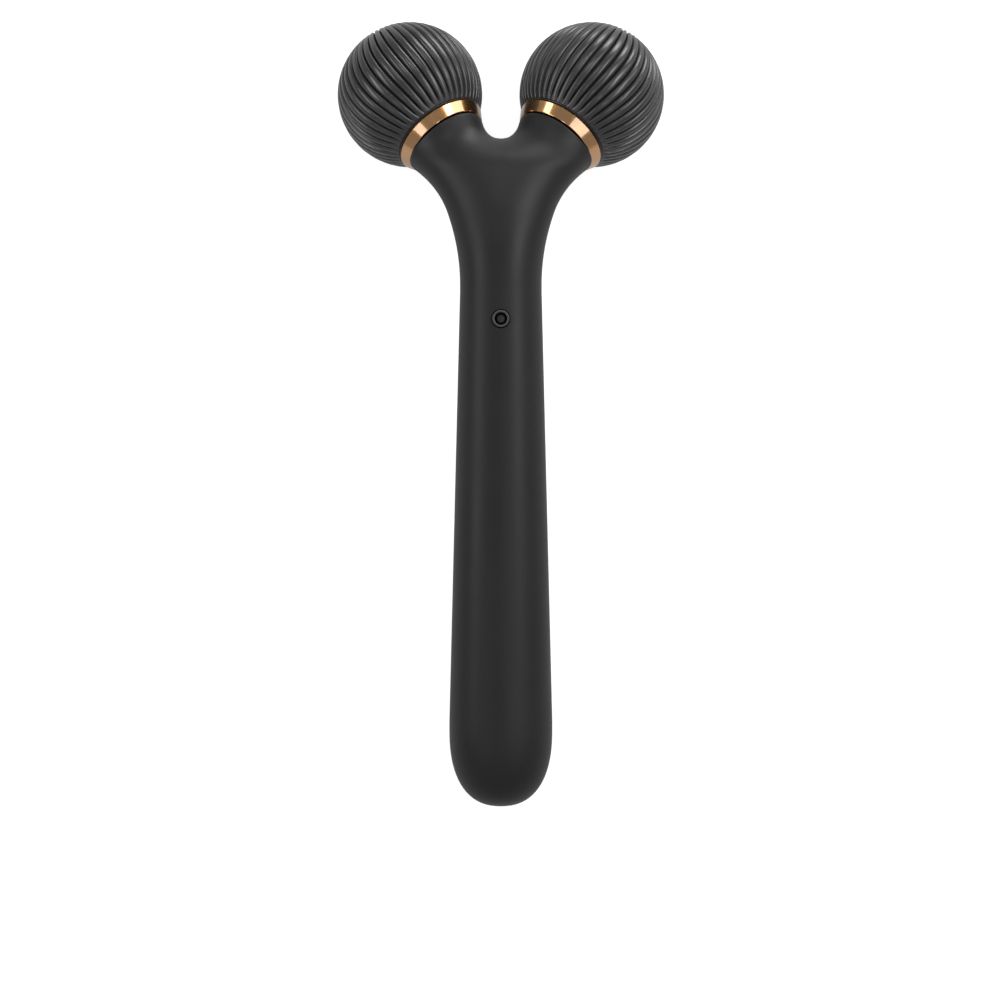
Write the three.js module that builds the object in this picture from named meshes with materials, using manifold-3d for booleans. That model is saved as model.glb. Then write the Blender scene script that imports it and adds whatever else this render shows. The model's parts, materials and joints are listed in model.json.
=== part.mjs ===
// Two-ball facial roller with a Y-shaped handle. Millimetres, +Z up, lying on its back as on a table.
//
// Everything is drawn in the handle frame: X across, Y from the tip of the handle to the balls, Z out of the
// front with the button. What sits in an arm is drawn in the arm's own frame, whose Y runs along the arm.
// The last lines lay the handle frame down, so that both balls and the back of the tip touch the table.

import * as THREE from 'three';
import { mergeVertices } from 'three/addons/utils/BufferGeometryUtils.js';
import Module from 'manifold-3d';

const wasm = await Module();
wasm.setup();

// Gaps
const seat = 0.3; // between pieces that touch or are pressed together
const partingGap = 0.3; // between the two casings

// Charging point on the rear casing. From here the pieces inside follow one another up to the fork.
const chargeY = 21;
const landWidth = 7.4;
const landLength = 15;
const landDepth = 0.55; // at the middle, below the skin
const liningSag = 0.1; // of the faceted lining below the round one
const contactPitch = 4.2;
const contactRadius = 0.9;
const contactRecess = 0.1;
const contactFlangeRadius = 1.5;
const contactFlangeThickness = 0.4;
const magnetRadius = 1.5;
const magnetHeight = 1.8;
const magnetPitch = contactPitch + 2 * (contactFlangeRadius + seat + magnetRadius);
const magnetMargin = 1.6; // from a magnet to the end of the board
const chargeBoardWidth = 6.6;
const chargeBoardLength = magnetPitch + 2 * (magnetRadius + magnetMargin);
const chargeBoardThickness = 0.8;
const ledgeThickness = 0.9;
const ledgeHalfWidth = 3;

// Battery
const cellRadius = 5;
const cellLength = 44;
const cellChamfer = 0.5;
const cellFromChargeBoard = 2.5;
const cellLowerY = chargeY + chargeBoardLength / 2 + cellFromChargeBoard;
const cellUpperY = cellLowerY + cellLength;
const cellZ = -1.2;
const padLength = 16;
const padWidth = 8;
const padThickness = 1.2;
const padY = cellLowerY + cellLength / 2;
const cradleThickness = 1.6;
const cradleInset = 8; // from an end of the cell to a cradle rib
const cellStopHalfWidth = 2;
const cellStopThickness = 1.2;
const cellStopBelow = 2.5; // from the cell's axis down to the top of a stop

// Main board and what it carries
const boardThickness = 1;
const boardHalfWidth = 5.2;
const boardLength = 25.5;
const boardFromCell = 3.5;
const boardLowerY = cellUpperY + boardFromCell;
const boardUpperY = boardLowerY + boardLength;
const buttonFromBoardEnd = 7.7;
const buttonY = boardUpperY - buttonFromBoardEnd; // the button stands over its switch
const boardBottomZ = 0.2;
const switchWidth = 3.2;
const switchHeight = 1.6;
const switchWellDepth = 1.1;
const plungerRadius = 0.75;
const plungerLength = 1.1;
const ledLength = 1.6;
const ledWidth = 0.8;
const ledHeight = 0.6;
const ledFromButton = 4.2;
const ledY = buttonY - ledFromButton;
const chipWidth = 4;
const chipHeight = 0.9;
const chipFromLed = 5.2;
const chipY = ledY - chipFromLed;
const connectorWidth = 4;
const connectorDepth = 2.2;
const connectorHeight = 1.6;
const connectorX = 1.2; // of the battery connector; the motor's sits at the other side
const connectorInset = 1.4; // from the board's end to the connector
const boardScrewX = 3.9;
const boardScrewInset = 2.2; // from the board's end to a screw
const screwHeadRadius = 1;
const screwHeadHeight = 0.8;
const screwHeadRim = 0.4; // height of the head's straight edge
const screwHeadTopRadius = 0.5;
const screwShankRadius = 0.5;
const screwLength = 4.6;
const postWall = 0.75;

// Vibration motor
const motorRadius = 3;
const motorLength = 10.5;
const motorFromBoard = 4;
const motorLowerY = boardUpperY + motorFromBoard;
const motorZ = -1.6;
const sleeveWall = 0.8;
const sleeveLength = 7;
const motorShaftRadius = 0.5;
const motorShaftInCase = 3;
const weightRadius = 2.7;
const weightLength = 3.5;
const weightBossRadius = 1.6;
const weightGap = 0.8;
const motorRibThickness = 1.2;
const motorRibPitch = 3.8;

// Fork and arms
const forkFromMotor = 10.25; // along the handle, from the lower end of the motor
const forkY = motorLowerY + forkFromMotor; // where the two arm axes meet
const forkZ = -1.981;
const splayAngle = THREE.MathUtils.degToRad(36.6); // of each arm from the handle, seen from the front
const leanAngle = THREE.MathUtils.degToRad(24); // of each arm away from the front
const armLength = 19.9; // from the fork to the end face
const armRootRadius = 3.32;
const armEndRadius = 8.48;
const armFlare = 1.25; // exponent of the flare along the arm
const crotchBlend = 3.47; // blending distance between the arms
const neckBlend = 4.68; // blending distance between the handle and the arms
const splitBeforeFork = 6; // where the handle's rings split into those of the arms
const partingBlend = 1; // rounding of the parting line where the arms begin

// Handle skin
const wall = 1.6;
const tipHalfWidth = 10.37;
const neckHalfWidth = 8.24;
const tipWidestY = 17;
const neckBeforeFork = 16.25;
const neckY = forkY - neckBeforeFork;
const flareBeforeFork = 14.86; // where the handle starts to widen into the fork
const flareY = forkY - flareBeforeFork;
const flareLength = 20;
const flareGrowth = 4.72; // of the half width, one flareLength past the start of the flare
const flareDrop = 2.34; // of the centreline, over the same length
const webFromFork = 8.53; // from the fork to the rounded end of the handle between the arms
const webY = forkY + webFromFork;
const webLength = 6.21;
const tipCapLength = 15.5;
const tipCapExponent = 2.4;
const tipDepthRatio = 0.88; // depth over width of the section at the tip
const neckDepthRatio = 0.93;
const bowDrop = 1.2; // how far the centreline has dropped one bowLength away from its crest
const bowCrestY = 65;
const bowLength = 60;

// Trim rings
const ringWidth = 2.3;
const ringBallSideRadius = 9.45;
const ringBoreRadius = 7.7;
const ringChamfer = 0.25;

// Balls
const ballRadius = 14.84;
const ballRimRadius = 9.5; // edge of the flat cut that faces the arm
const ballGap = 0.3; // between the trim ring and the ball
const ballWall = 2.2;
const ballMouthRadius = 7.5;
const ballMouthDepth = 2;
const ballSocketWall = 1.2; // wall of the socket that takes the far end of the hub
const ballSocketDepth = 2.3;
const ribCount = 46;
const ribDepth = 0.55;
const ribPoleAngle = THREE.MathUtils.degToRad(9); // where the ribs start, from the far pole
const ribFullAngle = THREE.MathUtils.degToRad(24); // where they reach their full depth
const ribFadeAngle = THREE.MathUtils.degToRad(11); // how far from the rim they start to fade
const ribTwistLinear = -0.03; // twist of the ribs about the axis, in powers of the latitude
const ribTwistSquare = 0.15;
const ribTwistCube = 0.09;

// Axles, hubs and bushes
const axleRadius = 1.5;
const axleEndInBall = 8.8; // how far the axle reaches past the ball's centre
const axleHeadRadius = 2.4;
const axleHeadLength = 1.3;
const axleGrooveDepth = 0.4;
const axleGrooveFromEnd = 1.1;
const axleChamfer = 0.4;
const clipThickness = 0.5;
const clipWidth = 1.2;
const clipMouthAngle = THREE.MathUtils.degToRad(70);
const carrierLength = 8.4; // of the plug inside the arm
const carrierSpigotRadius = 7.4;
const bushWall = 0.7;
const bushLength = 4;
const hubWall = 1.3;
const hubFlangeThickness = 1.5;
const hubMouthRelief = 0.3;
const washerThickness = 0.4;
const washerRadius = 3.2;

// Button
const buttonRadius = 1.7;
const buttonProud = 0.32; // height of the lip above the skin
const buttonDishRadius = 1.25;
const buttonDishDepth = 0.7;
const buttonFlangeRadius = 2.6;
const buttonFlangeThickness = 0.6;
const buttonStemRadius = 0.9;
const buttonTravel = 0.3;
const lightPipeRadius = 0.6;
const lightPipeLength = 1.4;

// Leads
const leadRadius = 0.42;
const leadPitch = 1.6; // between the two leads of a plug
const chargeLeadX = 2.6; // where a lead starts on the charging board
const chargeLeadInset = 2.5; // from the board's end to that place
const chargeLeadEdgeX = 5; // where it leaves the board's end
const chargeLeadRise = 6; // length beside the cell over which it rises
const chargeLeadTurn = 3; // length over which it turns in at the cell's upper end

// Facets
const skinColumns = 32;
const liningColumns = 16;
const ballRows = 9;
const roundSides = 18;
const smallSides = 12;
const leadSides = 6;
const shortLeadSteps = 9;
const longLeadSteps = 22;
const cutOverrun = 1; // how far a cutting solid stands out of what it cuts

const X = new THREE.Vector3(1, 0, 0);
const Y = new THREE.Vector3(0, 1, 0);
const Z = new THREE.Vector3(0, 0, 1);

// Triangles, solids and boolean steps

function geometryOf(triangles) {
  const geometry = new THREE.BufferGeometry().setFromPoints(triangles);
  return mergeVertices(geometry, 1e-4);
}

function solidOf(geometry) {
  const bare = geometry.clone();
  bare.deleteAttribute('normal');
  bare.deleteAttribute('uv');
  const merged = mergeVertices(bare, 1e-4);
  const corners = merged.index.array;
  const triVerts = [];
  for (let i = 0; i < corners.length; i += 3) {
    const [a, b, c] = [corners[i], corners[i + 1], corners[i + 2]];
    if (a !== b && b !== c && c !== a) triVerts.push(a, b, c);
  }
  const vertProperties = new Float32Array(merged.attributes.position.array);
  const mesh = new wasm.Mesh({ numProp: 3, vertProperties, triVerts: new Uint32Array(triVerts) });
  return new wasm.Manifold(mesh);
}

function geometryOfSolid(solid) {
  const mesh = solid.getMesh();
  const geometry = new THREE.BufferGeometry();
  geometry.setAttribute('position', new THREE.BufferAttribute(mesh.vertProperties, 3));
  geometry.setIndex(new THREE.BufferAttribute(mesh.triVerts, 1));
  return geometry;
}

function addQuad(triangles, a, b, c, d) {
  triangles.push(a, b, c, a, c, d);
}

function addBand(triangles, lower, upper) {
  for (let i = 0; i < lower.length; i++) {
    const next = (i + 1) % lower.length;
    addQuad(triangles, lower[i], lower[next], upper[next], upper[i]);
  }
}

function addLowerCap(triangles, ring, centre) {
  for (let i = 0; i < ring.length; i++) triangles.push(centre, ring[(i + 1) % ring.length], ring[i]);
}

function addUpperCap(triangles, ring, centre) {
  for (let i = 0; i < ring.length; i++) triangles.push(ring[i], ring[(i + 1) % ring.length], centre);
}

// Simple shapes

function box(x0, x1, y0, y1, z0, z1) {
  const geometry = new THREE.BoxGeometry(x1 - x0, y1 - y0, z1 - z0);
  return geometry.translate((x0 + x1) / 2, (y0 + y1) / 2, (z0 + z1) / 2);
}

// Turned about Y, from a profile of [radius, height] corners, counter-clockwise with the axis on the left
function turned(profile, sides = roundSides) {
  return new THREE.LatheGeometry(profile.map(([radius, height]) => new THREE.Vector2(radius, height)), sides);
}

function rod(radius, low, high, sides = roundSides) {
  return turned([[0, low], [radius, low], [radius, high], [0, high]], sides);
}

function tube(bore, radius, low, high, sides = roundSides) {
  return turned([[bore, low], [radius, low], [radius, high], [bore, high], [bore, low]], sides);
}

// The same about Z, standing on the handle's front direction
function uprightRod(radius, low, high, x, y, sides = smallSides) {
  return rod(radius, low, high, sides).rotateX(Math.PI / 2).translate(x, y, 0);
}

// A flat outline made thick along Z
function plate(outline, depth) {
  return new THREE.ExtrudeGeometry(outline, { depth, bevelEnabled: false, curveSegments: 8 });
}

// Handle skin

// From 0 where the handle starts to widen into the fork to 1 one flareLength further
function flareShare(y) {
  return Math.max(y - flareY, 0) / flareLength;
}

function centreZ(y) {
  return -bowDrop * ((y - bowCrestY) / bowLength) ** 2 - flareDrop * flareShare(y) ** 2;
}

function halfWidth(y) {
  const share = THREE.MathUtils.clamp((y - tipWidestY) / (neckY - tipWidestY), 0, 1);
  return THREE.MathUtils.lerp(tipHalfWidth, neckHalfWidth, share);
}

function depthRatio(y) {
  return THREE.MathUtils.lerp(tipDepthRatio, neckDepthRatio, THREE.MathUtils.clamp(y / neckY, 0, 1));
}

function capScale(y, inset) {
  const length = tipCapLength - inset;
  const fromFull = THREE.MathUtils.clamp((tipCapLength - y) / length, 0, 1);
  return (1 - fromFull ** tipCapExponent) ** (1 / tipCapExponent);
}

function halfDepth(y) {
  return halfWidth(y) * depthRatio(y) * capScale(y, 0);
}

const fork = new THREE.Vector3(0, forkY, forkZ);

function armDirection(side) {
  const upright = new THREE.Vector3(side * Math.sin(splayAngle), Math.cos(splayAngle), 0);
  return upright.multiplyScalar(Math.cos(leanAngle)).setZ(-Math.sin(leanAngle));
}

// Frame of an arm: Y along the arm, Z towards the front
function armBasis(side) {
  const along = armDirection(side);
  const front = Z.clone().addScaledVector(along, -Z.dot(along)).normalize();
  return new THREE.Matrix4().makeBasis(new THREE.Vector3().crossVectors(along, front), along, front);
}

function armRadius(distance) {
  return armRootRadius + (armEndRadius - armRootRadius) * (Math.max(distance, 0) / armLength) ** armFlare;
}

function smoothLesser(a, b, blend) {
  const overlap = Math.max(blend - Math.abs(a - b), 0) / blend;
  return Math.min(a, b) - (overlap * overlap * blend) / 4;
}

function distanceToHandle(point, inset) {
  const scale = capScale(point.y, inset);
  const width = (halfWidth(point.y) + flareGrowth * flareShare(point.y) ** 2 - inset) * scale;
  const depth = (halfWidth(point.y) * depthRatio(point.y) - inset) * scale;
  const pastWeb = Math.max(point.y - webY, 0) / (webLength - inset);
  const share = Math.hypot(point.x / width, (point.z - centreZ(point.y)) / depth, pastWeb);
  return (share - 1) * depth;
}

function distanceToArm(point, side, inset) {
  const along = armDirection(side);
  const fromFork = point.clone().sub(fork);
  const distance = Math.max(fromFork.dot(along), 0);
  return fromFork.addScaledVector(along, -distance).length() - armRadius(distance) + inset;
}

// Below zero inside the skin, moved inwards by inset
function skinField(point, inset) {
  const arms = smoothLesser(distanceToArm(point, -1, inset), distanceToArm(point, 1, inset), crotchBlend);
  return smoothLesser(arms, distanceToHandle(point, inset), neckBlend);
}

function castToSkin(origin, direction, inset) {
  const stride = 0.5;
  const halvings = 24;
  const at = (distance) => origin.clone().addScaledVector(direction, distance);
  let outside = stride;
  while (skinField(at(outside), inset) < 0) outside += stride;
  let inside = outside - stride;
  for (let i = 0; i < halvings; i++) {
    const middle = (inside + outside) / 2;
    if (skinField(at(middle), inset) < 0) inside = middle;
    else outside = middle;
  }
  return at(outside);
}

// A ring of the handle, in a plane of constant Y, from the front round by the right
function handleRing(y, inset, columns) {
  const centre = new THREE.Vector3(0, y, centreZ(y));
  const ring = [];
  for (let i = 0; i < columns; i++) {
    const angle = (2 * Math.PI * i) / columns;
    const direction = new THREE.Vector3(Math.sin(angle), 0, Math.cos(angle));
    const point = castToSkin(centre, direction, inset);
    if (i % (columns / 2) === 0) point.x = 0;
    ring.push(point);
  }
  return ring;
}

// The edge that both arms share, from the front over the crotch to the back, both ends left out
function crotchEdge(y, inset, columns) {
  const centre = new THREE.Vector3(0, y, centreZ(y));
  const edge = [];
  for (let i = 1; i < columns / 2; i++) {
    const angle = (2 * Math.PI * i) / columns;
    const point = castToSkin(centre, new THREE.Vector3(0, Math.sin(angle), Math.cos(angle)), inset);
    point.x = 0;
    edge.push(point);
  }
  return edge;
}

// Rings of the right arm, from the fork to its end, each from the front round by the outer side. Every
// point slides along the arm axis and turns about it, from its place on the first ring to an even share of
// the last.
function armRings(firstRing, inset, length, count) {
  const basis = armBasis(1);
  const toArm = basis.clone().setPosition(fork).invert();
  const starts = firstRing.map((first) => first.clone().applyMatrix4(toArm));
  const startAngles = starts.map((start) => Math.atan2(start.x, start.z));
  for (let k = 1; k < starts.length; k++) {
    while (startAngles[k] < startAngles[k - 1]) startAngles[k] += 2 * Math.PI;
  }
  const rings = [firstRing];
  for (let j = 1; j <= count; j++) {
    const share = j / count;
    const turn = THREE.MathUtils.smoothstep(share, 0, 1);
    rings.push(starts.map((start, k) => {
      const angle = THREE.MathUtils.lerp(startAngles[k], (2 * Math.PI * k) / starts.length, turn);
      const direction = new THREE.Vector3(Math.sin(angle), 0, Math.cos(angle)).transformDirection(basis);
      const distance = THREE.MathUtils.lerp(start.y, length, share);
      return castToSkin(fork.clone().addScaledVector(armDirection(1), distance), direction, inset);
    }));
  }
  return rings;
}

function mirrored(ring) {
  return ring.map((point) => new THREE.Vector3(-point.x, point.y, point.z)).reverse();
}

// The whole Y-shaped body, its skin moved inwards by inset and its arms longer by overrun
function forkedBody({ inset, overrun, columns, capRings, handleRings, neckRings, armSteps }) {
  const splitY = forkY - splitBeforeFork;
  const heights = [];
  for (let i = 1; i <= capRings; i++) {
    heights.push(inset + (tipCapLength - inset) * (1 - Math.cos((Math.PI / 2) * (i / capRings))));
  }
  for (let i = 1; i <= handleRings; i++) {
    heights.push(THREE.MathUtils.lerp(tipCapLength, neckY, i / handleRings));
  }
  for (let i = 1; i <= neckRings; i++) heights.push(THREE.MathUtils.lerp(neckY, splitY, i / neckRings));
  const rings = heights.map((y) => handleRing(y, inset, columns));
  const triangles = [];
  addLowerCap(triangles, rings[0], new THREE.Vector3(0, inset, centreZ(inset)));
  for (let i = 1; i < rings.length; i++) addBand(triangles, rings[i - 1], rings[i]);
  const last = rings[rings.length - 1];
  const firstArmRing = [...last.slice(0, columns / 2 + 1), ...crotchEdge(splitY, inset, columns).reverse()];
  const right = armRings(firstArmRing, inset, armLength + overrun, armSteps);
  const endCentre = fork.clone().addScaledVector(armDirection(1), armLength + overrun);
  for (let j = 1; j < right.length; j++) {
    addBand(triangles, right[j - 1], right[j]);
    addBand(triangles, mirrored(right[j - 1]), mirrored(right[j]));
  }
  addUpperCap(triangles, right[armSteps], endCentre);
  addUpperCap(triangles, mirrored(right[armSteps]), mirrored([endCentre])[0]);
  return solidOf(geometryOf(triangles));
}

// Casings

// Height of the parting line: the handle's centreline, then the plane of the two arm axes
function partingZ(y) {
  const slope = Math.tan(leanAngle) / Math.cos(splayAngle);
  return smoothLesser(centreZ(y), fork.z - slope * (y - forkY), partingBlend);
}

// Everything in front of the parting line (facing 1) or behind it (facing -1)
function casingSide(facing) {
  const reach = 60;
  const start = -10;
  const end = forkY + armLength + 2 * armEndRadius;
  const steps = 30;
  const edge = [];
  for (let i = 0; i <= steps; i++) {
    const y = THREE.MathUtils.lerp(start, end, i / steps);
    edge.push(new THREE.Vector2(y, partingZ(y) + (facing * partingGap) / 2));
  }
  edge.push(new THREE.Vector2(end, facing * reach), new THREE.Vector2(start, facing * reach));
  const outline = new THREE.Shape(edge);
  const geometry = plate(outline, 2 * reach);
  geometry.translate(0, 0, -reach).applyMatrix4(new THREE.Matrix4().makeBasis(Y, Z, X));
  return solidOf(geometry);
}

function skinFrontZ(y) {
  return castToSkin(new THREE.Vector3(0, y, centreZ(y)), Z, 0).z;
}

function skinBackZ(y) {
  return castToSkin(new THREE.Vector3(0, y, centreZ(y)), Z.clone().negate(), 0).z;
}

const landZ = skinBackZ(chargeY) + landDepth;
const chargeInnerZ = skinBackZ(chargeY) + wall;
const contactFlangeZ = chargeInnerZ + seat + liningSag;
const chargeBoardZ = contactFlangeZ + contactFlangeThickness + seat;
const magnetZ = contactFlangeZ + seat / 2;
const boardTopZ = boardBottomZ + boardThickness;
const motorUpperY = motorLowerY + motorLength;
const motorMiddleY = motorLowerY + motorLength / 2;
const boardScrews = [
  { name: 'board_screw_lower', x: -boardScrewX, y: boardLowerY + boardScrewInset },
  { name: 'board_screw_upper', x: boardScrewX, y: boardUpperY - boardScrewInset },
];

function frontCasing(shell) {
  const lipZ = skinFrontZ(buttonY) + buttonProud;
  const hole = solidOf(uprightRod(buttonRadius + seat, 0, lipZ + buttonProud, 0, buttonY, roundSides));
  return shell.intersect(casingSide(1)).subtract(hole);
}

// Ribs, posts and ledges on the inside of the rear casing, before they are trimmed to its wall
function rearCasingFittings() {
  const deep = -tipHalfWidth;
  const wide = tipHalfWidth;
  const fittings = [];
  for (const y of [cellLowerY + cradleInset, cellUpperY - cradleInset]) {
    fittings.push(box(-wide, wide, y - cradleThickness / 2, y + cradleThickness / 2, deep, cellZ));
  }
  const stopTop = cellZ - cellStopBelow;
  for (const y of [cellLowerY - seat - cellStopThickness, cellUpperY + seat]) {
    fittings.push(box(-cellStopHalfWidth, cellStopHalfWidth, y, y + cellStopThickness, deep, stopTop));
  }
  for (const y of [motorMiddleY - motorRibPitch / 2, motorMiddleY + motorRibPitch / 2]) {
    const ribTop = Math.min(motorZ, partingZ(y) - partingGap);
    fittings.push(box(-wide, wide, y - motorRibThickness / 2, y + motorRibThickness / 2, deep, ribTop));
  }
  for (const end of [-1, 1]) {
    const y = chargeY + end * (chargeBoardLength / 2 - ledgeThickness);
    fittings.push(box(-ledgeHalfWidth, ledgeHalfWidth, y - ledgeThickness / 2, y + ledgeThickness / 2,
      deep, chargeBoardZ - seat));
  }
  for (const { x, y } of boardScrews) {
    fittings.push(uprightRod(screwShankRadius + seat + postWall, deep, boardBottomZ - seat, x, y));
  }
  return fittings.map(solidOf).reduce((whole, fitting) => whole.add(fitting));
}

function rearCasing(shell, wallMiddle) {
  const along = (radius, low, high, z) => solidOf(rod(radius, low, high).translate(0, 0, z));
  const cellRoom = along(cellRadius + seat, cellLowerY - seat, cellUpperY + seat, cellZ);
  const sleeveRadius = motorRadius + seat + sleeveWall;
  const motorRoom = along(sleeveRadius + seat, motorLowerY, motorUpperY, motorZ);
  let fittings = rearCasingFittings().subtract(cellRoom).subtract(motorRoom);
  for (const { x, y } of boardScrews) {
    const pilotFloor = boardTopZ - screwLength - seat;
    fittings = fittings.subtract(solidOf(uprightRod(screwShankRadius + seat, pilotFloor, boardTopZ, x, y)));
  }
  let casing = shell.intersect(casingSide(-1)).add(fittings.intersect(wallMiddle));
  for (const end of [-1, 1]) {
    const y = chargeY + (end * contactPitch) / 2;
    const hole = uprightRod(contactRadius + seat, landZ - wall, chargeInnerZ + wall, 0, y);
    casing = casing.subtract(solidOf(hole));
  }
  const [landLow, landHigh] = [chargeY - landLength / 2, chargeY + landLength / 2];
  return casing.subtract(solidOf(box(-landWidth, landWidth, landLow, landHigh, landZ - wall, landZ)));
}

function casings() {
  const outer = forkedBody({
    inset: 0, overrun: 0, columns: skinColumns, capRings: 8, handleRings: 6, neckRings: 3, armSteps: 8,
  });
  const lining = {
    overrun: cutOverrun, columns: liningColumns, capRings: 5, handleRings: 4, neckRings: 2, armSteps: 6,
  };
  const inner = forkedBody({ inset: wall, ...lining });
  const wallMiddle = forkedBody({ inset: wall / 2, ...lining });
  const shell = outer.subtract(inner);
  return { front: frontCasing(shell), rear: rearCasing(shell, wallMiddle) };
}

// Materials

function material(color, roughness, metalness = 0) {
  return new THREE.MeshStandardMaterial({ color, roughness, metalness });
}

const softTouchBlack = material(0x2b2b2c, 0.62);
const ballBlack = material(0x2a2a2b, 0.4);
const roseGold = material(0xb98a5e, 0.2, 1);
const innerPlastic = material(0x3a3a3c, 0.6);
const steel = material(0xc4c6c8, 0.3, 1);
const bronze = material(0xa87b45, 0.45, 1);
const lens = material(0xd9dcdf, 0.25);
const boardGreen = material(0x1d5a38, 0.5);
const chipBlack = material(0x151516, 0.5);
const connectorWhite = material(0xe8e4d8, 0.5);
const cellWrap = material(0x2f6fa8, 0.35);
const foam = material(0x4a4a4c, 0.95);
const rubber = material(0x1c1c1d, 0.8);
const leadRed = material(0xb01c1c, 0.5);
const leadBlack = material(0x141414, 0.5);
const contactGold = material(0xd8b25a, 0.25, 1);

// The model

const handle = new THREE.Group();

function addMesh(parent, name, geometry, finish) {
  const mesh = new THREE.Mesh(geometry, finish);
  mesh.name = name;
  parent.add(mesh);
}

function addCasings() {
  const { front, rear } = casings();
  addMesh(handle, 'front_shell', geometryOfSolid(front), softTouchBlack);
  addMesh(handle, 'rear_shell', geometryOfSolid(rear), softTouchBlack);
}

// Stations along an arm, from the fork
const ringStart = armLength + seat;
const ringEnd = ringStart + ringWidth;
const ballCut = ringEnd + ballGap;
const ballCentre = ballCut + Math.sqrt(ballRadius ** 2 - ballRimRadius ** 2);
const axleEnd = ballCentre + axleEndInBall;
const grooveEnd = axleEnd - axleGrooveFromEnd;
const grooveStart = grooveEnd - clipThickness - 2 * seat;
const bushRadius = axleRadius + seat + bushWall;
const hubBore = bushRadius + seat;
const hubRadius = hubBore + hubWall;
const hubStart = ballCut + hubMouthRelief;
const hubEnd = axleEnd + seat;
const carrierStart = armLength - carrierLength;
const carrierEnd = hubStart - washerThickness - 2 * seat;

function trimRing() {
  return turned([
    [ringBoreRadius, ringStart],
    [armEndRadius + ringChamfer / 2, ringStart],
    [ringBallSideRadius, ringEnd - ringChamfer],
    [ringBallSideRadius - ringChamfer, ringEnd],
    [ringBoreRadius, ringEnd],
    [ringBoreRadius, ringStart],
  ], 2 * roundSides);
}

function axleCarrier() {
  const bore = axleRadius + seat;
  return turned([
    [bore, carrierStart],
    [armRadius(carrierStart) - wall - seat, carrierStart],
    [armRadius(armLength) - wall - seat, ringStart],
    [carrierSpigotRadius, ringStart],
    [carrierSpigotRadius, carrierEnd],
    [bore, carrierEnd],
    [bore, carrierStart],
  ]);
}

function axlePin() {
  const headEnd = carrierStart - seat;
  return turned([
    [0, headEnd - axleHeadLength],
    [axleHeadRadius, headEnd - axleHeadLength],
    [axleHeadRadius, headEnd],
    [axleRadius, headEnd],
    [axleRadius, grooveStart],
    [axleRadius - axleGrooveDepth, grooveStart],
    [axleRadius - axleGrooveDepth, grooveEnd],
    [axleRadius, grooveEnd],
    [axleRadius, axleEnd - axleChamfer],
    [axleRadius - axleChamfer, axleEnd],
    [0, axleEnd],
  ], smallSides);
}

function thrustWasher() {
  return tube(axleRadius + seat, washerRadius, carrierEnd + seat, hubStart - seat);
}

// Open ring that snaps into the groove of the axle
function retainingClip() {
  const inner = axleRadius - axleGrooveDepth + seat;
  const from = Math.PI / 2 + clipMouthAngle / 2;
  const to = from + 2 * Math.PI - clipMouthAngle;
  const outline = new THREE.Shape();
  outline.absarc(0, 0, inner + clipWidth, from, to, false);
  outline.absarc(0, 0, inner, to, from, true);
  const geometry = plate(outline, clipThickness);
  return geometry.rotateX(-Math.PI / 2).translate(0, (grooveStart + grooveEnd - clipThickness) / 2, 0);
}

function hub() {
  const shaftRoom = axleRadius + 2 * seat;
  const flangeEnd = hubStart + hubFlangeThickness;
  const nearSeatEnd = hubStart + bushLength + seat;
  const farSeatStart = grooveStart - bushLength - 2 * seat;
  return turned([
    [hubBore, hubStart],
    [ballMouthRadius - seat, hubStart],
    [ballMouthRadius - seat, flangeEnd],
    [hubRadius, flangeEnd],
    [hubRadius, hubEnd],
    [hubBore, hubEnd],
    [hubBore, farSeatStart],
    [shaftRoom, farSeatStart],
    [shaftRoom, nearSeatEnd],
    [hubBore, nearSeatEnd],
    [hubBore, hubStart],
  ]);
}

function bush(start) {
  return tube(axleRadius + seat, bushRadius, start, start + bushLength);
}

function ribFade(angle) {
  const rimAngle = Math.PI - Math.asin(ballRimRadius / ballRadius);
  const atPole = THREE.MathUtils.smoothstep(angle, ribPoleAngle, ribFullAngle);
  return atPole * THREE.MathUtils.smoothstep(rimAngle - angle, 0, ribFadeAngle);
}

// Twist of a rib about the axis at an angle from the far pole
function ribTwist(angle) {
  const latitude = Math.PI / 2 - angle;
  return ribTwistLinear * latitude + ribTwistSquare * latitude ** 2 + ribTwistCube * latitude ** 3;
}

// Solid ball with twisted ribs, a crest and a valley for each; side mirrors the twist
function ribbedBall(side) {
  const rimAngle = Math.PI - Math.asin(ballRimRadius / ballRadius);
  const rings = [];
  for (let j = 0; j <= ballRows; j++) {
    const angle = THREE.MathUtils.lerp(rimAngle, ribPoleAngle, j / ballRows);
    const ring = [];
    for (let i = 0; i < 2 * ribCount; i++) {
      const radius = ballRadius - (i % 2) * ribDepth * ribFade(angle);
      const around = (Math.PI * i) / ribCount - side * ribTwist(angle);
      const out = radius * Math.sin(angle);
      const along = ballCentre + radius * Math.cos(angle);
      ring.push(new THREE.Vector3(out * Math.sin(around), along, out * Math.cos(around)));
    }
    rings.push(ring);
  }
  const triangles = [];
  addLowerCap(triangles, rings[0], new THREE.Vector3(0, ballCut, 0));
  for (let j = 1; j <= ballRows; j++) addBand(triangles, rings[j - 1], rings[j]);
  const poleCap = ballCentre + ballRadius * Math.cos(ribPoleAngle);
  addUpperCap(triangles, rings[ballRows], new THREE.Vector3(0, poleCap, 0));
  return solidOf(geometryOf(triangles));
}

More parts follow.
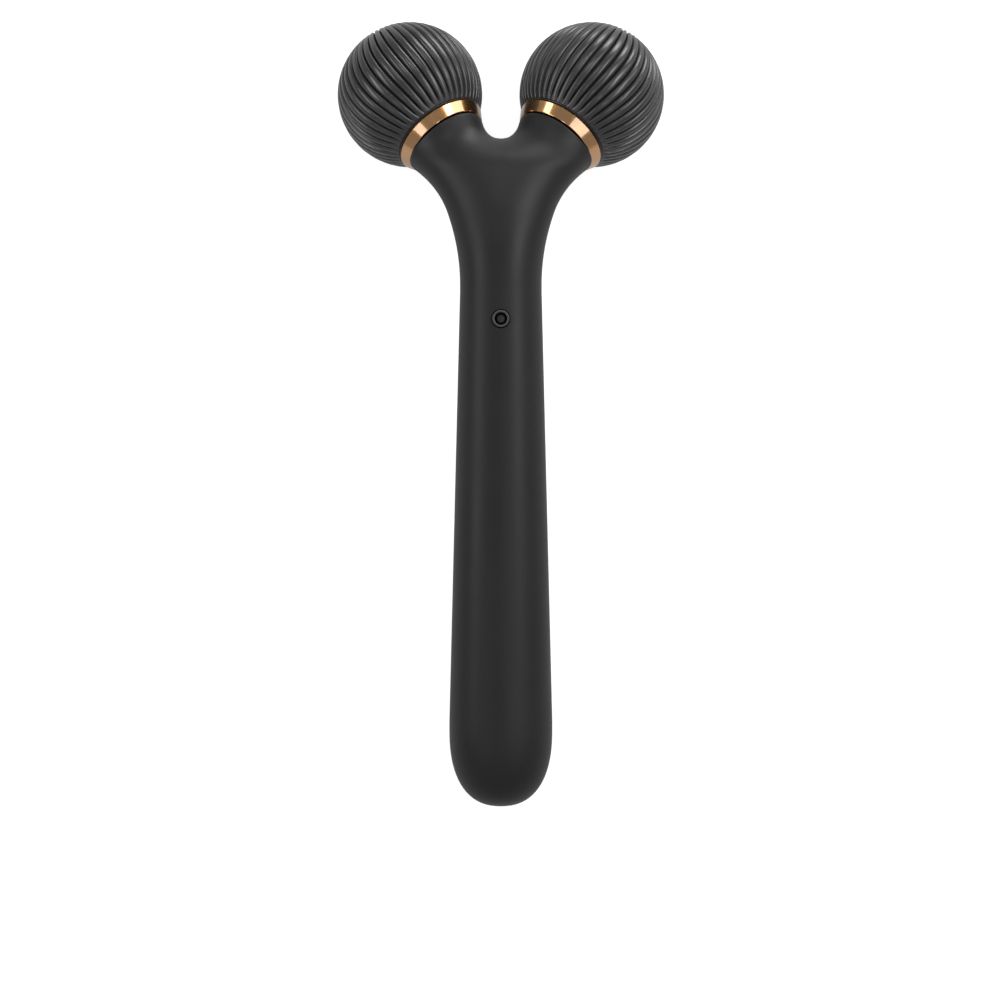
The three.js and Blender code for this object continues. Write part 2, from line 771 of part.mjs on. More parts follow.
// The room inside a ball: the mouth, the hollow and the socket at the far end that the hub fits
function ballRoom() {
  const radius = ballRadius - ballWall;
  const mouthEnd = ballCut + ballMouthDepth;
  const socketRadius = hubRadius + seat;
  const bossRadius = socketRadius + ballSocketWall;
  const socketFloor = hubEnd + seat;
  const from = Math.asin((mouthEnd - ballCentre) / radius);
  const to = Math.acos(bossRadius / radius);
  const steps = 7;
  const outside = ballCut - cutOverrun;
  const profile = [[0, outside], [ballMouthRadius, outside], [ballMouthRadius, mouthEnd]];
  for (let i = 0; i <= steps; i++) {
    const angle = THREE.MathUtils.lerp(from, to, i / steps);
    profile.push([radius * Math.cos(angle), ballCentre + radius * Math.sin(angle)]);
  }
  profile.push([bossRadius, socketFloor - ballSocketDepth], [socketRadius, socketFloor - ballSocketDepth]);
  profile.push([socketRadius, socketFloor], [0, socketFloor]);
  return solidOf(turned(profile));
}

function addArm(side, name) {
  const arm = new THREE.Group();
  arm.applyMatrix4(armBasis(side).setPosition(fork));
  handle.add(arm);
  addMesh(arm, `trim_ring_${name}`, trimRing(), roseGold);
  addMesh(arm, `axle_carrier_${name}`, axleCarrier(), innerPlastic);
  addMesh(arm, `axle_pin_${name}`, axlePin(), steel);
  addMesh(arm, `thrust_washer_${name}`, thrustWasher(), steel);
  addMesh(arm, `retaining_clip_${name}`, retainingClip(), steel);
  addMesh(arm, `ball_shell_${name}`, geometryOfSolid(ribbedBall(side).subtract(ballRoom())), ballBlack);
  addMesh(arm, `ball_hub_${name}`, hub(), innerPlastic);
  addMesh(arm, `inner_bush_${name}`, bush(hubStart), bronze);
  addMesh(arm, `outer_bush_${name}`, bush(grooveStart - bushLength - seat), bronze);
}

// Button, with its heights counted down from the lip
function addButton() {
  const lipZ = skinFrontZ(buttonY) + buttonProud;
  const innerZ = lipZ - buttonProud - wall;
  const sag = innerZ - castToSkin(new THREE.Vector3(buttonFlangeRadius, buttonY, 0), Z, wall).z;
  const flangeTop = innerZ - sag - seat;
  const flangeBottom = flangeTop - buttonFlangeThickness;
  const plungerTop = boardTopZ + seat + switchHeight + buttonTravel + seat;
  const pipeTop = lipZ - buttonDishDepth;
  const pipeBottom = pipeTop - lightPipeLength;
  const wellRadius = lightPipeRadius + seat;
  const cap = turned([
    [0, plungerTop + seat],
    [buttonStemRadius, plungerTop + seat],
    [buttonStemRadius, flangeBottom],
    [buttonFlangeRadius, flangeBottom],
    [buttonFlangeRadius, flangeTop],
    [buttonRadius, flangeTop],
    [buttonRadius, lipZ],
    [buttonDishRadius, lipZ],
    [buttonDishRadius - (buttonDishRadius - wellRadius) / 2, pipeTop],
    [wellRadius, pipeTop],
    [wellRadius, pipeBottom - seat],
    [0, pipeBottom - seat],
  ]);
  const pipe = rod(lightPipeRadius, pipeBottom, pipeTop, smallSides);
  const plunger = rod(plungerRadius, plungerTop - plungerLength, plungerTop, smallSides);
  const pieces = [
    ['button_cap', cap, softTouchBlack],
    ['button_light_pipe', pipe, lens],
    ['switch_plunger', plunger, chipBlack],
  ];
  for (const [name, geometry, finish] of pieces) {
    addMesh(handle, name, geometry.rotateX(Math.PI / 2).translate(0, buttonY, 0), finish);
  }
}

function mainBoard() {
  const outline = new THREE.Shape();
  outline.moveTo(-boardHalfWidth, boardLowerY);
  outline.lineTo(boardHalfWidth, boardLowerY);
  outline.lineTo(boardHalfWidth, boardUpperY);
  outline.lineTo(-boardHalfWidth, boardUpperY);
  for (const { x, y } of boardScrews) {
    outline.holes.push(new THREE.Path().absarc(x, y, screwShankRadius + seat, 0, 2 * Math.PI, true));
  }
  return plate(outline, boardThickness).translate(0, 0, boardBottomZ);
}

// A block on top of the main board
function onBoard(width, length, height, x, y) {
  const z = boardTopZ + seat;
  return box(x - width / 2, x + width / 2, y - length / 2, y + length / 2, z, z + height);
}

function tactSwitch() {
  const body = solidOf(onBoard(switchWidth, switchWidth, switchHeight, 0, buttonY));
  const top = boardTopZ + seat + switchHeight;
  const well = uprightRod(plungerRadius + seat, top - switchWellDepth, top + cutOverrun, 0, buttonY);
  return geometryOfSolid(body.subtract(solidOf(well)));
}

// Pan-head screw through the main board into a post of the rear casing
function boardScrew(x, y) {
  const headBottom = boardTopZ + seat;
  const profile = [
    [0, boardTopZ - screwLength],
    [screwShankRadius, boardTopZ - screwLength + screwShankRadius],
    [screwShankRadius, headBottom],
    [screwHeadRadius, headBottom],
    [screwHeadRadius, headBottom + screwHeadRim],
    [screwHeadTopRadius, headBottom + screwHeadHeight],
    [0, headBottom + screwHeadHeight],
  ];
  return turned(profile, smallSides).rotateX(Math.PI / 2).translate(x, y, 0);
}

const batteryConnectorY = boardLowerY + connectorInset + connectorDepth / 2;
const motorConnectorY = boardUpperY - connectorInset - connectorDepth / 2;
const connectorMiddleZ = boardTopZ + seat + connectorHeight / 2;

function addBoard() {
  addMesh(handle, 'main_board', mainBoard(), boardGreen);
  addMesh(handle, 'tact_switch', tactSwitch(), chipBlack);
  addMesh(handle, 'status_led', onBoard(ledLength, ledWidth, ledHeight, 0, ledY), lens);
  addMesh(handle, 'control_chip', onBoard(chipWidth, chipWidth, chipHeight, 0, chipY), chipBlack);
  const connector = (x, y) => onBoard(connectorWidth, connectorDepth, connectorHeight, x, y);
  addMesh(handle, 'battery_connector', connector(connectorX, batteryConnectorY), connectorWhite);
  addMesh(handle, 'motor_connector', connector(-connectorX, motorConnectorY), connectorWhite);
  for (const { name, x, y } of boardScrews) addMesh(handle, name, boardScrew(x, y), steel);
}

function addBattery() {
  const cell = turned([
    [0, cellLowerY],
    [cellRadius - cellChamfer, cellLowerY],
    [cellRadius, cellLowerY + cellChamfer],
    [cellRadius, cellUpperY - cellChamfer],
    [cellRadius - cellChamfer, cellUpperY],
    [0, cellUpperY],
  ]);
  const padZ = cellZ + cellRadius + seat;
  const [padLow, padHigh] = [padY - padLength / 2, padY + padLength / 2];
  const pad = box(-padWidth / 2, padWidth / 2, padLow, padHigh, padZ, padZ + padThickness);
  addMesh(handle, 'battery_cell', cell.translate(0, 0, cellZ), cellWrap);
  addMesh(handle, 'battery_foam_pad', pad, foam);
}

// Half-round weight, its flat side through the shaft
function eccentricWeight(start) {
  const outline = new THREE.Shape();
  outline.absarc(0, 0, weightRadius, 0, Math.PI, false);
  outline.absarc(0, 0, weightBossRadius, Math.PI, 2 * Math.PI, false);
  outline.holes.push(new THREE.Path().absarc(0, 0, motorShaftRadius + seat, 0, 2 * Math.PI, true));
  return plate(outline, weightLength).rotateX(Math.PI / 2).translate(0, start + weightLength, motorZ);
}

function addMotor() {
  const bore = motorShaftRadius + seat;
  const weightStart = motorUpperY + weightGap;
  const shaftStart = motorUpperY - motorShaftInCase;
  const motor = turned([
    [0, motorLowerY],
    [motorRadius, motorLowerY],
    [motorRadius, motorUpperY],
    [bore, motorUpperY],
    [bore, shaftStart - seat],
    [0, shaftStart - seat],
  ]);
  const sleeve = tube(motorRadius + seat, motorRadius + seat + sleeveWall,
    motorMiddleY - sleeveLength / 2, motorMiddleY + sleeveLength / 2);
  const shaft = rod(motorShaftRadius, shaftStart, weightStart + weightLength, smallSides);
  addMesh(handle, 'motor_case', motor.translate(0, 0, motorZ), steel);
  addMesh(handle, 'motor_sleeve', sleeve.translate(0, 0, motorZ), rubber);
  addMesh(handle, 'motor_shaft', shaft.translate(0, 0, motorZ), steel);
  addMesh(handle, 'eccentric_weight', eccentricWeight(weightStart), bronze);
}

function chargeBoard() {
  const outline = new THREE.Shape();
  const x = chargeBoardWidth / 2;
  const [low, high] = [chargeY - chargeBoardLength / 2, chargeY + chargeBoardLength / 2];
  outline.moveTo(-x, low);
  outline.lineTo(x, low);
  outline.lineTo(x, high);
  outline.lineTo(-x, high);
  for (const end of [-1, 1]) {
    const y = chargeY + (end * magnetPitch) / 2;
    outline.holes.push(new THREE.Path().absarc(0, y, magnetRadius + seat, 0, 2 * Math.PI, true));
  }
  return plate(outline, chargeBoardThickness).translate(0, 0, chargeBoardZ);
}

function chargeContact(y) {
  const profile = [
    [0, landZ + contactRecess],
    [contactRadius, landZ + contactRecess],
    [contactRadius, contactFlangeZ],
    [contactFlangeRadius, contactFlangeZ],
    [contactFlangeRadius, contactFlangeZ + contactFlangeThickness],
    [0, contactFlangeZ + contactFlangeThickness],
  ];
  return turned(profile, smallSides).rotateX(Math.PI / 2).translate(0, y, 0);
}

function addCharging() {
  addMesh(handle, 'charge_board', chargeBoard(), boardGreen);
  for (const [end, name] of [[-1, 'lower'], [1, 'upper']]) {
    const magnetY = chargeY + (end * magnetPitch) / 2;
    const magnet = uprightRod(magnetRadius, magnetZ, magnetZ + magnetHeight, 0, magnetY);
    addMesh(handle, `charge_contact_${name}`, chargeContact(chargeY + (end * contactPitch) / 2), contactGold);
    addMesh(handle, `charge_magnet_${name}`, magnet, steel);
  }
}

// A lead through chosen points, each [x, y, z]
function lead(points, steps) {
  const outline = new THREE.Shape();
  for (let i = 0; i < leadSides; i++) {
    const angle = (2 * Math.PI * i) / leadSides;
    const corner = [leadRadius * Math.cos(angle), leadRadius * Math.sin(angle)];
    if (i === 0) outline.moveTo(...corner);
    else outline.lineTo(...corner);
  }
  const extrudePath = new THREE.CatmullRomCurve3(points.map((point) => new THREE.Vector3(...point)));
  return new THREE.ExtrudeGeometry(outline, { steps, extrudePath, bevelEnabled: false });
}

// From the cell's upper end to the plug on the board's lower end
function batteryLead(side) {
  const x = connectorX + (side * leadPitch) / 2;
  const tabX = side * 1.2 + x / 2;
  const plugY = batteryConnectorY - connectorDepth / 2 - seat;
  return lead([
    [tabX, cellUpperY + seat, cellZ + 0.6],
    [tabX, cellUpperY + 1.6, cellZ + 1.3],
    [x, boardLowerY - 1.6, connectorMiddleZ - 0.4],
    [x, boardLowerY, connectorMiddleZ],
    [x, plugY, connectorMiddleZ],
  ], shortLeadSteps);
}

// From the plug on the board's upper end to the motor
function motorLead(side) {
  const x = -connectorX + (side * leadPitch) / 2;
  const plugY = motorConnectorY + connectorDepth / 2 + seat;
  return lead([
    [x, plugY, connectorMiddleZ],
    [x, boardUpperY + 0.6, connectorMiddleZ - 0.1],
    [x * 0.8, boardUpperY + 1.7, boardBottomZ],
    [x * 0.6, motorLowerY - 1.2, motorZ + 0.6],
    [x * 0.6, motorLowerY - seat, motorZ + 0.4],
  ], shortLeadSteps);
}

// From the charging board, along the cell and its side, to the edge of the main board
function chargeLead(side) {
  const besideCell = cellRadius + 2 * seat + 2 * leadRadius;
  const topZ = chargeBoardZ + chargeBoardThickness + seat + leadRadius;
  const upperY = chargeY + chargeBoardLength / 2;
  const boardX = boardHalfWidth - 0.9;
  const middleZ = boardBottomZ + boardThickness / 2;
  const points = [
    [chargeLeadX, upperY - chargeLeadInset, topZ],
    [chargeLeadEdgeX, upperY - 0.1, topZ + 0.8],
    [besideCell + 0.3, cellLowerY + 0.2, cellZ - 0.8],
    [besideCell, cellLowerY + chargeLeadRise, boardBottomZ + 0.3],
    [besideCell, cellLowerY + cellLength / 2, middleZ],
    [besideCell - 0.2, cellUpperY - chargeLeadTurn, middleZ],
    [besideCell - 0.6, cellUpperY + 0.2, middleZ],
    [boardX, boardLowerY - 1.2, middleZ],
    [boardX, boardLowerY - seat, middleZ],
  ];
  return lead(points.map(([x, y, z]) => [side * x, y, z]), longLeadSteps);
}

function addLeads() {
  for (const [side, colour, finish] of [[-1, 'black', leadBlack], [1, 'red', leadRed]]) {
    addMesh(handle, `battery_lead_${colour}`, batteryLead(side), finish);
    addMesh(handle, `motor_lead_${colour}`, motorLead(side), finish);
    addMesh(handle, `charge_lead_${colour}`, chargeLead(side), finish);
  }
}

addCasings();
addArm(-1, 'left');
addArm(1, 'right');
addButton();
addBoard();
addBattery();
addMotor();
addCharging();
addLeads();

// Lying down

// Turn about X at which the balls and the back of the tip are equally low
function restingTilt() {
  const ball = fork.clone().addScaledVector(armDirection(1), ballCentre);
  const lowest = (y, z, tilt) => y * Math.sin(tilt) + z * Math.cos(tilt);
  const stride = 0.1;
  const halvings = 40;
  const tipLow = (tilt) => {
    let low = Infinity;
    for (let y = 0; y < 2 * tipCapLength; y += stride) {
      low = Math.min(low, lowest(y, centreZ(y) - halfDepth(y), tilt));
    }
    return low;
  };
  let [flat, steep] = [0, Math.PI / 4];
  for (let i = 0; i < halvings; i++) {
    const middle = (flat + steep) / 2;
    if (lowest(ball.y, ball.z, middle) - ballRadius < tipLow(middle)) flat = middle;
    else steep = middle;
  }
  return steep;
}

handle.rotation.x = restingTilt();
handle.updateMatrixWorld(true);
const bounds = new THREE.Box3().setFromObject(handle, true);
const middle = bounds.getCenter(new THREE.Vector3());
handle.position.set(0, -middle.y, -bounds.min.z);

const roller = new THREE.Group();
roller.add(handle);

export default roller;
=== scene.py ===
# Looks of the two-ball facial roller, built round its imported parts.
#
# Shapes are drawn in millimetres in the handle's frame: X across, Y from the tip of the handle to the balls,
# Z out of the front with the button. to_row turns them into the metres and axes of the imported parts.

import json
import math

import bmesh
import bpy
import numpy as np
from mathutils import Matrix, Vector


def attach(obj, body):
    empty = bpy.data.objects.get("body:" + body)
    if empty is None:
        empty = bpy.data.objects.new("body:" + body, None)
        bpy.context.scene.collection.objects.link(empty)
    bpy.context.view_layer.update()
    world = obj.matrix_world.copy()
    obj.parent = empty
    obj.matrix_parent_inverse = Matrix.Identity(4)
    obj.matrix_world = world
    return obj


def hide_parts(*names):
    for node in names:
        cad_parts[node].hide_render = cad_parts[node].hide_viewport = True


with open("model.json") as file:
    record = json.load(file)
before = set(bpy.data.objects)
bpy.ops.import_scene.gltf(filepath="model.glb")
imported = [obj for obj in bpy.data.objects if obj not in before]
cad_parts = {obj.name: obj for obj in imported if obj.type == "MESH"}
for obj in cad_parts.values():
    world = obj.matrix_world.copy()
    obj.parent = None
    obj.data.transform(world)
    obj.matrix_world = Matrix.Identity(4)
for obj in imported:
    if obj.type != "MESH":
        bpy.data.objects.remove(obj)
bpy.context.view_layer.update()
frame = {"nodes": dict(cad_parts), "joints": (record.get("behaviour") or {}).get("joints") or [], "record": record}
joints = {joint["name"]: joint for joint in frame["joints"]}

MM = 0.001

# Handle skin
WALL = 1.6
TIP_HALF_WIDTH = 10.37
NECK_HALF_WIDTH = 8.24
TIP_WIDEST_Y = 17
NECK_Y = 103
TIP_CAP_LENGTH = 15.5
TIP_CAP_EXPONENT = 2.4
TIP_DEPTH_RATIO = 0.88
NECK_DEPTH_RATIO = 0.93
BOW_CREST_Y = 65  # where the handle's middle line is furthest to the front
BOW_DROP = 1.2  # how far behind its crest that line is, BOW_LENGTH away from it
BOW_LENGTH = 60
FLARE_Y = 104.39  # where the handle starts to widen into the fork
FLARE_LENGTH = 20
FLARE_GROWTH = 4.72
FLARE_DROP = 2.34
WEB_Y = 127.78  # where its rounded end between the arms starts
WEB_LENGTH = 6.21

# Fork and arms
FORK_Y = 119.25
FORK_Z = -1.981
SPLAY_ANGLE = math.radians(36.6)
LEAN_ANGLE = math.radians(24)
ARM_LENGTH = 19.9
ARM_ROOT_RADIUS = 3.32
ARM_END_RADIUS = 8.48
ARM_FLARE = 1.25
CROTCH_BLEND = 3.47
NECK_BLEND = 4.68
SPLIT_Y = 113.25  # where the sections of the handle part into those of the arms
ON_MIDDLE = 0.01  # points of an arm this near the middle plane lie on it, so that both arms meet

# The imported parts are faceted, so the smooth skins and balls are drawn this much inside theirs
FACET_SAG = 0.06

# Rays that find the skin step outwards, and then halve their last step
CAST_STRIDE = 0.5
CAST_HALVINGS = 26
WELD_DISTANCE = 1e-4  # points of a casing this close become one

# Seam between the casings, and the rounding of their edges
SEAM_GAP = 0.14
SEAM_RADIUS = 0.14
SEAM_LIP = SEAM_GAP / 2 + SEAM_RADIUS
END_RADIUS = 0.2

# Rings, balls and their ribs
SEAT = 0.3
RING_WIDTH = 2.3
RING_BALL_SIDE_RADIUS = 9.65
RING_BORE_RADIUS = 7.7
RING_ARM_CHAMFER = 0.08
RING_CHAMFER = 0.28  # on the ball side, with a bend in the middle
RING_BEND_INWARDS = RING_CHAMFER / 4
RING_BEND_DOWN = RING_CHAMFER / 3
RING_ARM_SIDE_RADIUS = ARM_END_RADIUS + RING_CHAMFER / 2
RING_START = ARM_LENGTH + SEAT
RING_END = RING_START + RING_WIDTH
BALL_RADIUS = 14.84 - FACET_SAG
BALL_RIM_RADIUS = 9.5
BALL_RIM_ANGLE = math.pi - math.asin(BALL_RIM_RADIUS / BALL_RADIUS)  # from the far pole
BALL_GAP = 0.3
BALL_CUT = RING_END + BALL_GAP
BALL_CENTRE = BALL_CUT + math.sqrt(BALL_RADIUS**2 - BALL_RIM_RADIUS**2)
BALL_WALL = 2.2
BALL_MOUTH_RADIUS = 7.5
BALL_MOUTH_DEPTH = 2
BALL_EDGE_RADIUS = 0.3
BALL_EDGE_START = -math.pi / 6
RIB_COUNT = 46
RIB_DEPTH = 0.8
RIB_FLATNESS = 3.8  # exponent of a rib's crest: 2 is a round one, more a flatter one
RIB_POLE_ANGLE = math.radians(9)
RIB_FULL_ANGLE = math.radians(24)
RIB_FADE_ANGLE = math.radians(10)
RIB_TWIST = (0, -0.03, 0.15, 0.09)  # of the ribs about the axis, in powers of the latitude

# Button
BUTTON_Y = 97.3
BUTTON_RADIUS = 1.7
BUTTON_PROUD = 0.32
BUTTON_DISH_RADIUS = 1.25
BUTTON_DISH_DEPTH = 1.8
BUTTON_HOLE_RADIUS = 1.92
BUTTON_BODY_DEPTH = 3.6
BUTTON_EDGE_RADIUS = 0.16
LIGHT_PIPE_RADIUS = 0.8
LIGHT_PIPE_SUNK = 0.65  # from the lip down to the top of the light pipe
LIGHT_PIPE_LENGTH = 2.4
LIGHT_PIPE_DOME = 0.12
LIGHT_PIPE_GAP = 0.05

# Charging point on the back
CHARGE_Y = 21
LAND_WIDTH = 7.4
LAND_LENGTH = 15
LAND_DEPTH = 0.55
CONTACT_PITCH = 4.2
CONTACT_RADIUS = 0.9
CONTACT_EDGE_RADIUS = 0.25
CONTACT_HOLE_RADIUS = 1.15
CONTACT_RECESS = 0.1
CONTACT_LENGTH = 1.2

# Mesh counts
HALF_COLUMNS = 64
CAP_ROWS = 20
HANDLE_ROWS = 56
NECK_ROWS = 14
ARM_ROWS = 44
EDGE_STEPS = 3
RIB_COLUMNS = 14
BALL_ROWS = 84
BALL_INNER_ROWS = 12
TURNED_SIDES = 160
SMALL_SIDES = 64

# Edges that bend by more than this aren't shaded smooth
SHARP_ANGLE = math.radians(32)
RING_SHARP_ANGLE = math.radians(8)

# Unevenness of the materials: how much colour and gloss vary, how many clouds they have to the metre, and the
# height of the grain in millimetres
PLASTIC_TINT_SPREAD = 0.1
PLASTIC_GLOSS_SPREAD = 0.03
PLASTIC_CLOUDS = 90
PLASTIC_GRAIN_HEIGHT = 0.02
METAL_TINT_SPREAD = 0.05
METAL_GLOSS_SPREAD = 0.15
METAL_TINT_CLOUDS = 400
METAL_GLOSS_CLOUDS = 700
METAL_GRAIN_HEIGHT = 0.005
CLOUD_DETAIL = 2.0
GRAIN_DETAIL = 3.0
NOISE_LOW = 0.3  # nearly all values of the noise lie between these two
NOISE_HIGH = 0.7
LACQUER_ROUGHNESS = 0.04
LACQUER_IOR = 2.2

# Camera: it looks at the handle's front squarely
PHOTO_SPAN = 200  # width of the photograph at the handle's centre plane
CAMERA_DISTANCE = 700
CAMERA_AIM = Vector((-0.17, 61.4, 0))
SENSOR_WIDTH = 36
CLIP_START = 0.01

# Softboxes, in handle millimetres: place, width, height, the way its height runs, radiance
LIGHT_TARGET = (0, 115, 0)
SOFTBOXES = {
    "right_strip": ((416, 290, 450), 190, 520, (0, 1, 0), 3.9),
    "left_strip": ((-512, 250, 330), 190, 470, (0, 1, 0), 3.7),
    "right_panel": ((549, 442, 330), 140, 640, (0, 0, 1), 2.6),
    "top_panel": ((245, 722, 0), 400, 230, (0, 0, 1), 6.0),
    "upper_panel": ((-30, 540, 440), 260, 160, (0, 0, 1), 2.5),
    "lower_right_box": ((215, -45, 540), 60, 460, (0.75, -0.66, 0), 2.5),
    "lower_left_box": ((-260, -80, 500), 60, 230, (-0.75, -0.66, 0), 2.5),
}
WHITE = (1, 1, 1, 1)
WORLD_STRENGTH = 0.35
FLOOR_COLOUR = (0.5, 0.5, 0.5, 1)
FLOOR_ROUGHNESS = 0.9
FLOOR_SPECULAR = 0.1
FLOOR_GLOW = 0.85  # of the floor's own light, which only the camera, reflections and clear pieces see
FLOOR_GLOW_REFLECTED = 0.3  # share of the glow that reflections show

# Floor, in metres: a flat disc, a cove round it and a low wall
FLOOR_RADIUS = 2.2
FLOOR_SIDES = 96
COVE_RADIUS = 0.5
COVE_ROWS = 8
FLOOR_WALL_TOP = 1.2


# Skin of the handle


def smoothstep(value, low, high):
    share = np.clip((value - low) / (high - low), 0, 1)
    return share * share * (3 - 2 * share)


def lerp(start, end, share):
    return start + (end - start) * share


def flare_share(y):
    return np.maximum(y - FLARE_Y, 0) / FLARE_LENGTH


def centre_z(y):
    return -BOW_DROP * ((y - BOW_CREST_Y) / BOW_LENGTH) ** 2 - FLARE_DROP * flare_share(y) ** 2


def half_width(y):
    share = np.clip((y - TIP_WIDEST_Y) / (NECK_Y - TIP_WIDEST_Y), 0, 1)
    return lerp(TIP_HALF_WIDTH, NECK_HALF_WIDTH, share)


def depth_ratio(y):
    return lerp(TIP_DEPTH_RATIO, NECK_DEPTH_RATIO, np.clip(y / NECK_Y, 0, 1))


def cap_scale(y, inset):
    from_full = np.clip((TIP_CAP_LENGTH - y) / (TIP_CAP_LENGTH - inset), 0, 1)
    return (1 - from_full**TIP_CAP_EXPONENT) ** (1 / TIP_CAP_EXPONENT)


FORK = np.array((0, FORK_Y, FORK_Z))
ARM = np.array((
    math.sin(SPLAY_ANGLE) * math.cos(LEAN_ANGLE),
    math.cos(SPLAY_ANGLE) * math.cos(LEAN_ANGLE),
    -math.sin(LEAN_ANGLE),
))
MIRROR = np.array((-1, 1, 1))
ARM_PLANE = np.array((0, -ARM[2], ARM[1])) / math.hypot(ARM[1], ARM[2])  # faces the front
ARM_OUTER = np.cross(ARM, ARM_PLANE)


def arm_radius(distance):
    share = np.maximum(distance, 0) / ARM_LENGTH
    return ARM_ROOT_RADIUS + (ARM_END_RADIUS - ARM_ROOT_RADIUS) * share**ARM_FLARE


def smooth_lesser(a, b, blend):
    overlap = np.maximum(blend - np.abs(a - b), 0) / blend
    return np.minimum(a, b) - overlap * overlap * blend / 4


def distance_to_handle(points, inset):
    x, y, z = np.moveaxis(points, -1, 0)
    scale = cap_scale(y, inset)
    width = (half_width(y) + FLARE_GROWTH * flare_share(y) ** 2 - inset) * scale
    depth = (half_width(y) * depth_ratio(y) - inset) * scale
    past_web = np.maximum(y - WEB_Y, 0) / (WEB_LENGTH - inset)
    share = np.sqrt((x / width) ** 2 + ((z - centre_z(y)) / depth) ** 2 + past_web**2)
    return (share - 1) * depth


def distance_to_arm(points, along, inset):
    from_fork = points - FORK
    distance = np.maximum(from_fork @ along, 0)
    return np.linalg.norm(from_fork - distance[..., None] * along, axis=-1) - arm_radius(distance) + inset


def skin_field(points, inset):
    """Below zero inside the skin, moved inwards by inset."""
    right = distance_to_arm(points, ARM, inset)
    left = distance_to_arm(points, ARM * MIRROR, inset)
    arms = smooth_lesser(right, left, CROTCH_BLEND)
    return smooth_lesser(arms, distance_to_handle(points, inset), NECK_BLEND)


def cast(origins, directions, inset):
    """The points where rays that start inside leave the skin."""
    origins, directions = np.broadcast_arrays(origins, directions)
    outside = np.full(origins.shape[:-1], CAST_STRIDE)
    going = np.ones_like(outside, bool)
    while going.any():
        going = skin_field(origins + outside[..., None] * directions, inset) < 0
        outside[going] += CAST_STRIDE
    inside = outside - CAST_STRIDE
    for _ in range(CAST_HALVINGS):
        middle = (inside + outside) / 2
        under = skin_field(origins + middle[..., None] * directions, inset) < 0
        inside = np.where(under, middle, inside)
        outside = np.where(under, outside, middle)
    return origins + outside[..., None] * directions


# Half of the handle, in front of its seam (facing 1) or behind it (facing -1)


def handle_row(y, inset, facing):
    """One half of a section, from the right seam over the middle to the left seam."""
    centre = np.array((0, y, centre_z(y)))
    reach = cast(centre, np.array((1.0, 0, 0)), inset)[0]
    seam_angle = math.asin(SEAM_LIP / reach)
    angles = facing * np.linspace(seam_angle, math.pi - seam_angle, HALF_COLUMNS + 1)
    directions = np.stack((np.cos(angles), np.zeros_like(angles), np.sin(angles)), -1)
    row = cast(centre, directions, inset)
    row[HALF_COLUMNS // 2, 0] = 0
    return row


def lip(outer, inner, towards):
    """The rounded edge of a seam, from the outer skin's last point to just short of the inner one's."""
    inward = inner - outer
    inward = inward - towards * (inward @ towards)
    inward = inward / np.linalg.norm(inward)
    angles = np.linspace(0, math.pi / 2, EDGE_STEPS + 1)[1:, None]
    return outer + SEAM_RADIUS * (inward * (1 - np.cos(angles)) + towards * np.sin(angles))


def closed_loop(outer, inner, towards_first, towards_last):
    """A closed section of the wall: outer skin, last seam, inner skin back, first seam."""
    last = lip(outer[-1], inner[-1], towards_last)
    first = lip(outer[0], inner[0], towards_first)
    return np.concatenate((outer, last, inner[::-1], first[::-1]))


def tip_loop(facing):
    """The section shrunk to the tip: all of the outer skin in one point, all of the inner one in another."""
    towards = np.array((0, 0, -facing))
    outer = np.array((0, FACET_SAG, centre_z(FACET_SAG) + facing * SEAM_LIP))
    inner = np.array((0, WALL, centre_z(WALL) + facing * SEAM_GAP / 2))
    columns = HALF_COLUMNS + 1
    return closed_loop(np.tile(outer, (columns, 1)), np.tile(inner, (columns, 1)), towards, towards)


def row_heights(inset):
    cap = np.arange(1, CAP_ROWS + 1) / CAP_ROWS * math.pi / 2
    cap_heights = inset + (TIP_CAP_LENGTH - inset) * (1 - np.cos(cap))
    handle = np.linspace(TIP_CAP_LENGTH, NECK_Y, HANDLE_ROWS + 1)[1:]
    neck = np.linspace(NECK_Y, SPLIT_Y, NECK_ROWS + 1)[1:]
    return np.concatenate((cap_heights, handle, neck))


def crotch_edge(inset, facing):
    """The edge that both arms share, from the middle of the last handle row to the seam in the crotch."""
    centre = np.array((0, SPLIT_Y, centre_z(SPLIT_Y)))
    between_arms = np.array((0, ARM[1], ARM[2])) / math.hypot(ARM[1], ARM[2])
    seam = cast(FORK, between_arms, inset) + facing * SEAM_LIP * ARM_PLANE
    last_angle = math.atan2(seam[1] - centre[1], facing * (seam[2] - centre[2]))
    angles = np.linspace(0, last_angle, HALF_COLUMNS // 2 + 1)[1:]
    directions = np.stack((np.zeros_like(angles), np.sin(angles), facing * np.cos(angles)), -1)
    edge = cast(centre, directions, inset)
    edge[:, 0] = 0
    return edge


def around_arm(angles):
    """Unit vectors square to the right arm, turned from its outer side towards the front."""
    return np.cos(angles)[..., None] * ARM_OUTER + np.sin(angles)[..., None] * ARM_PLANE


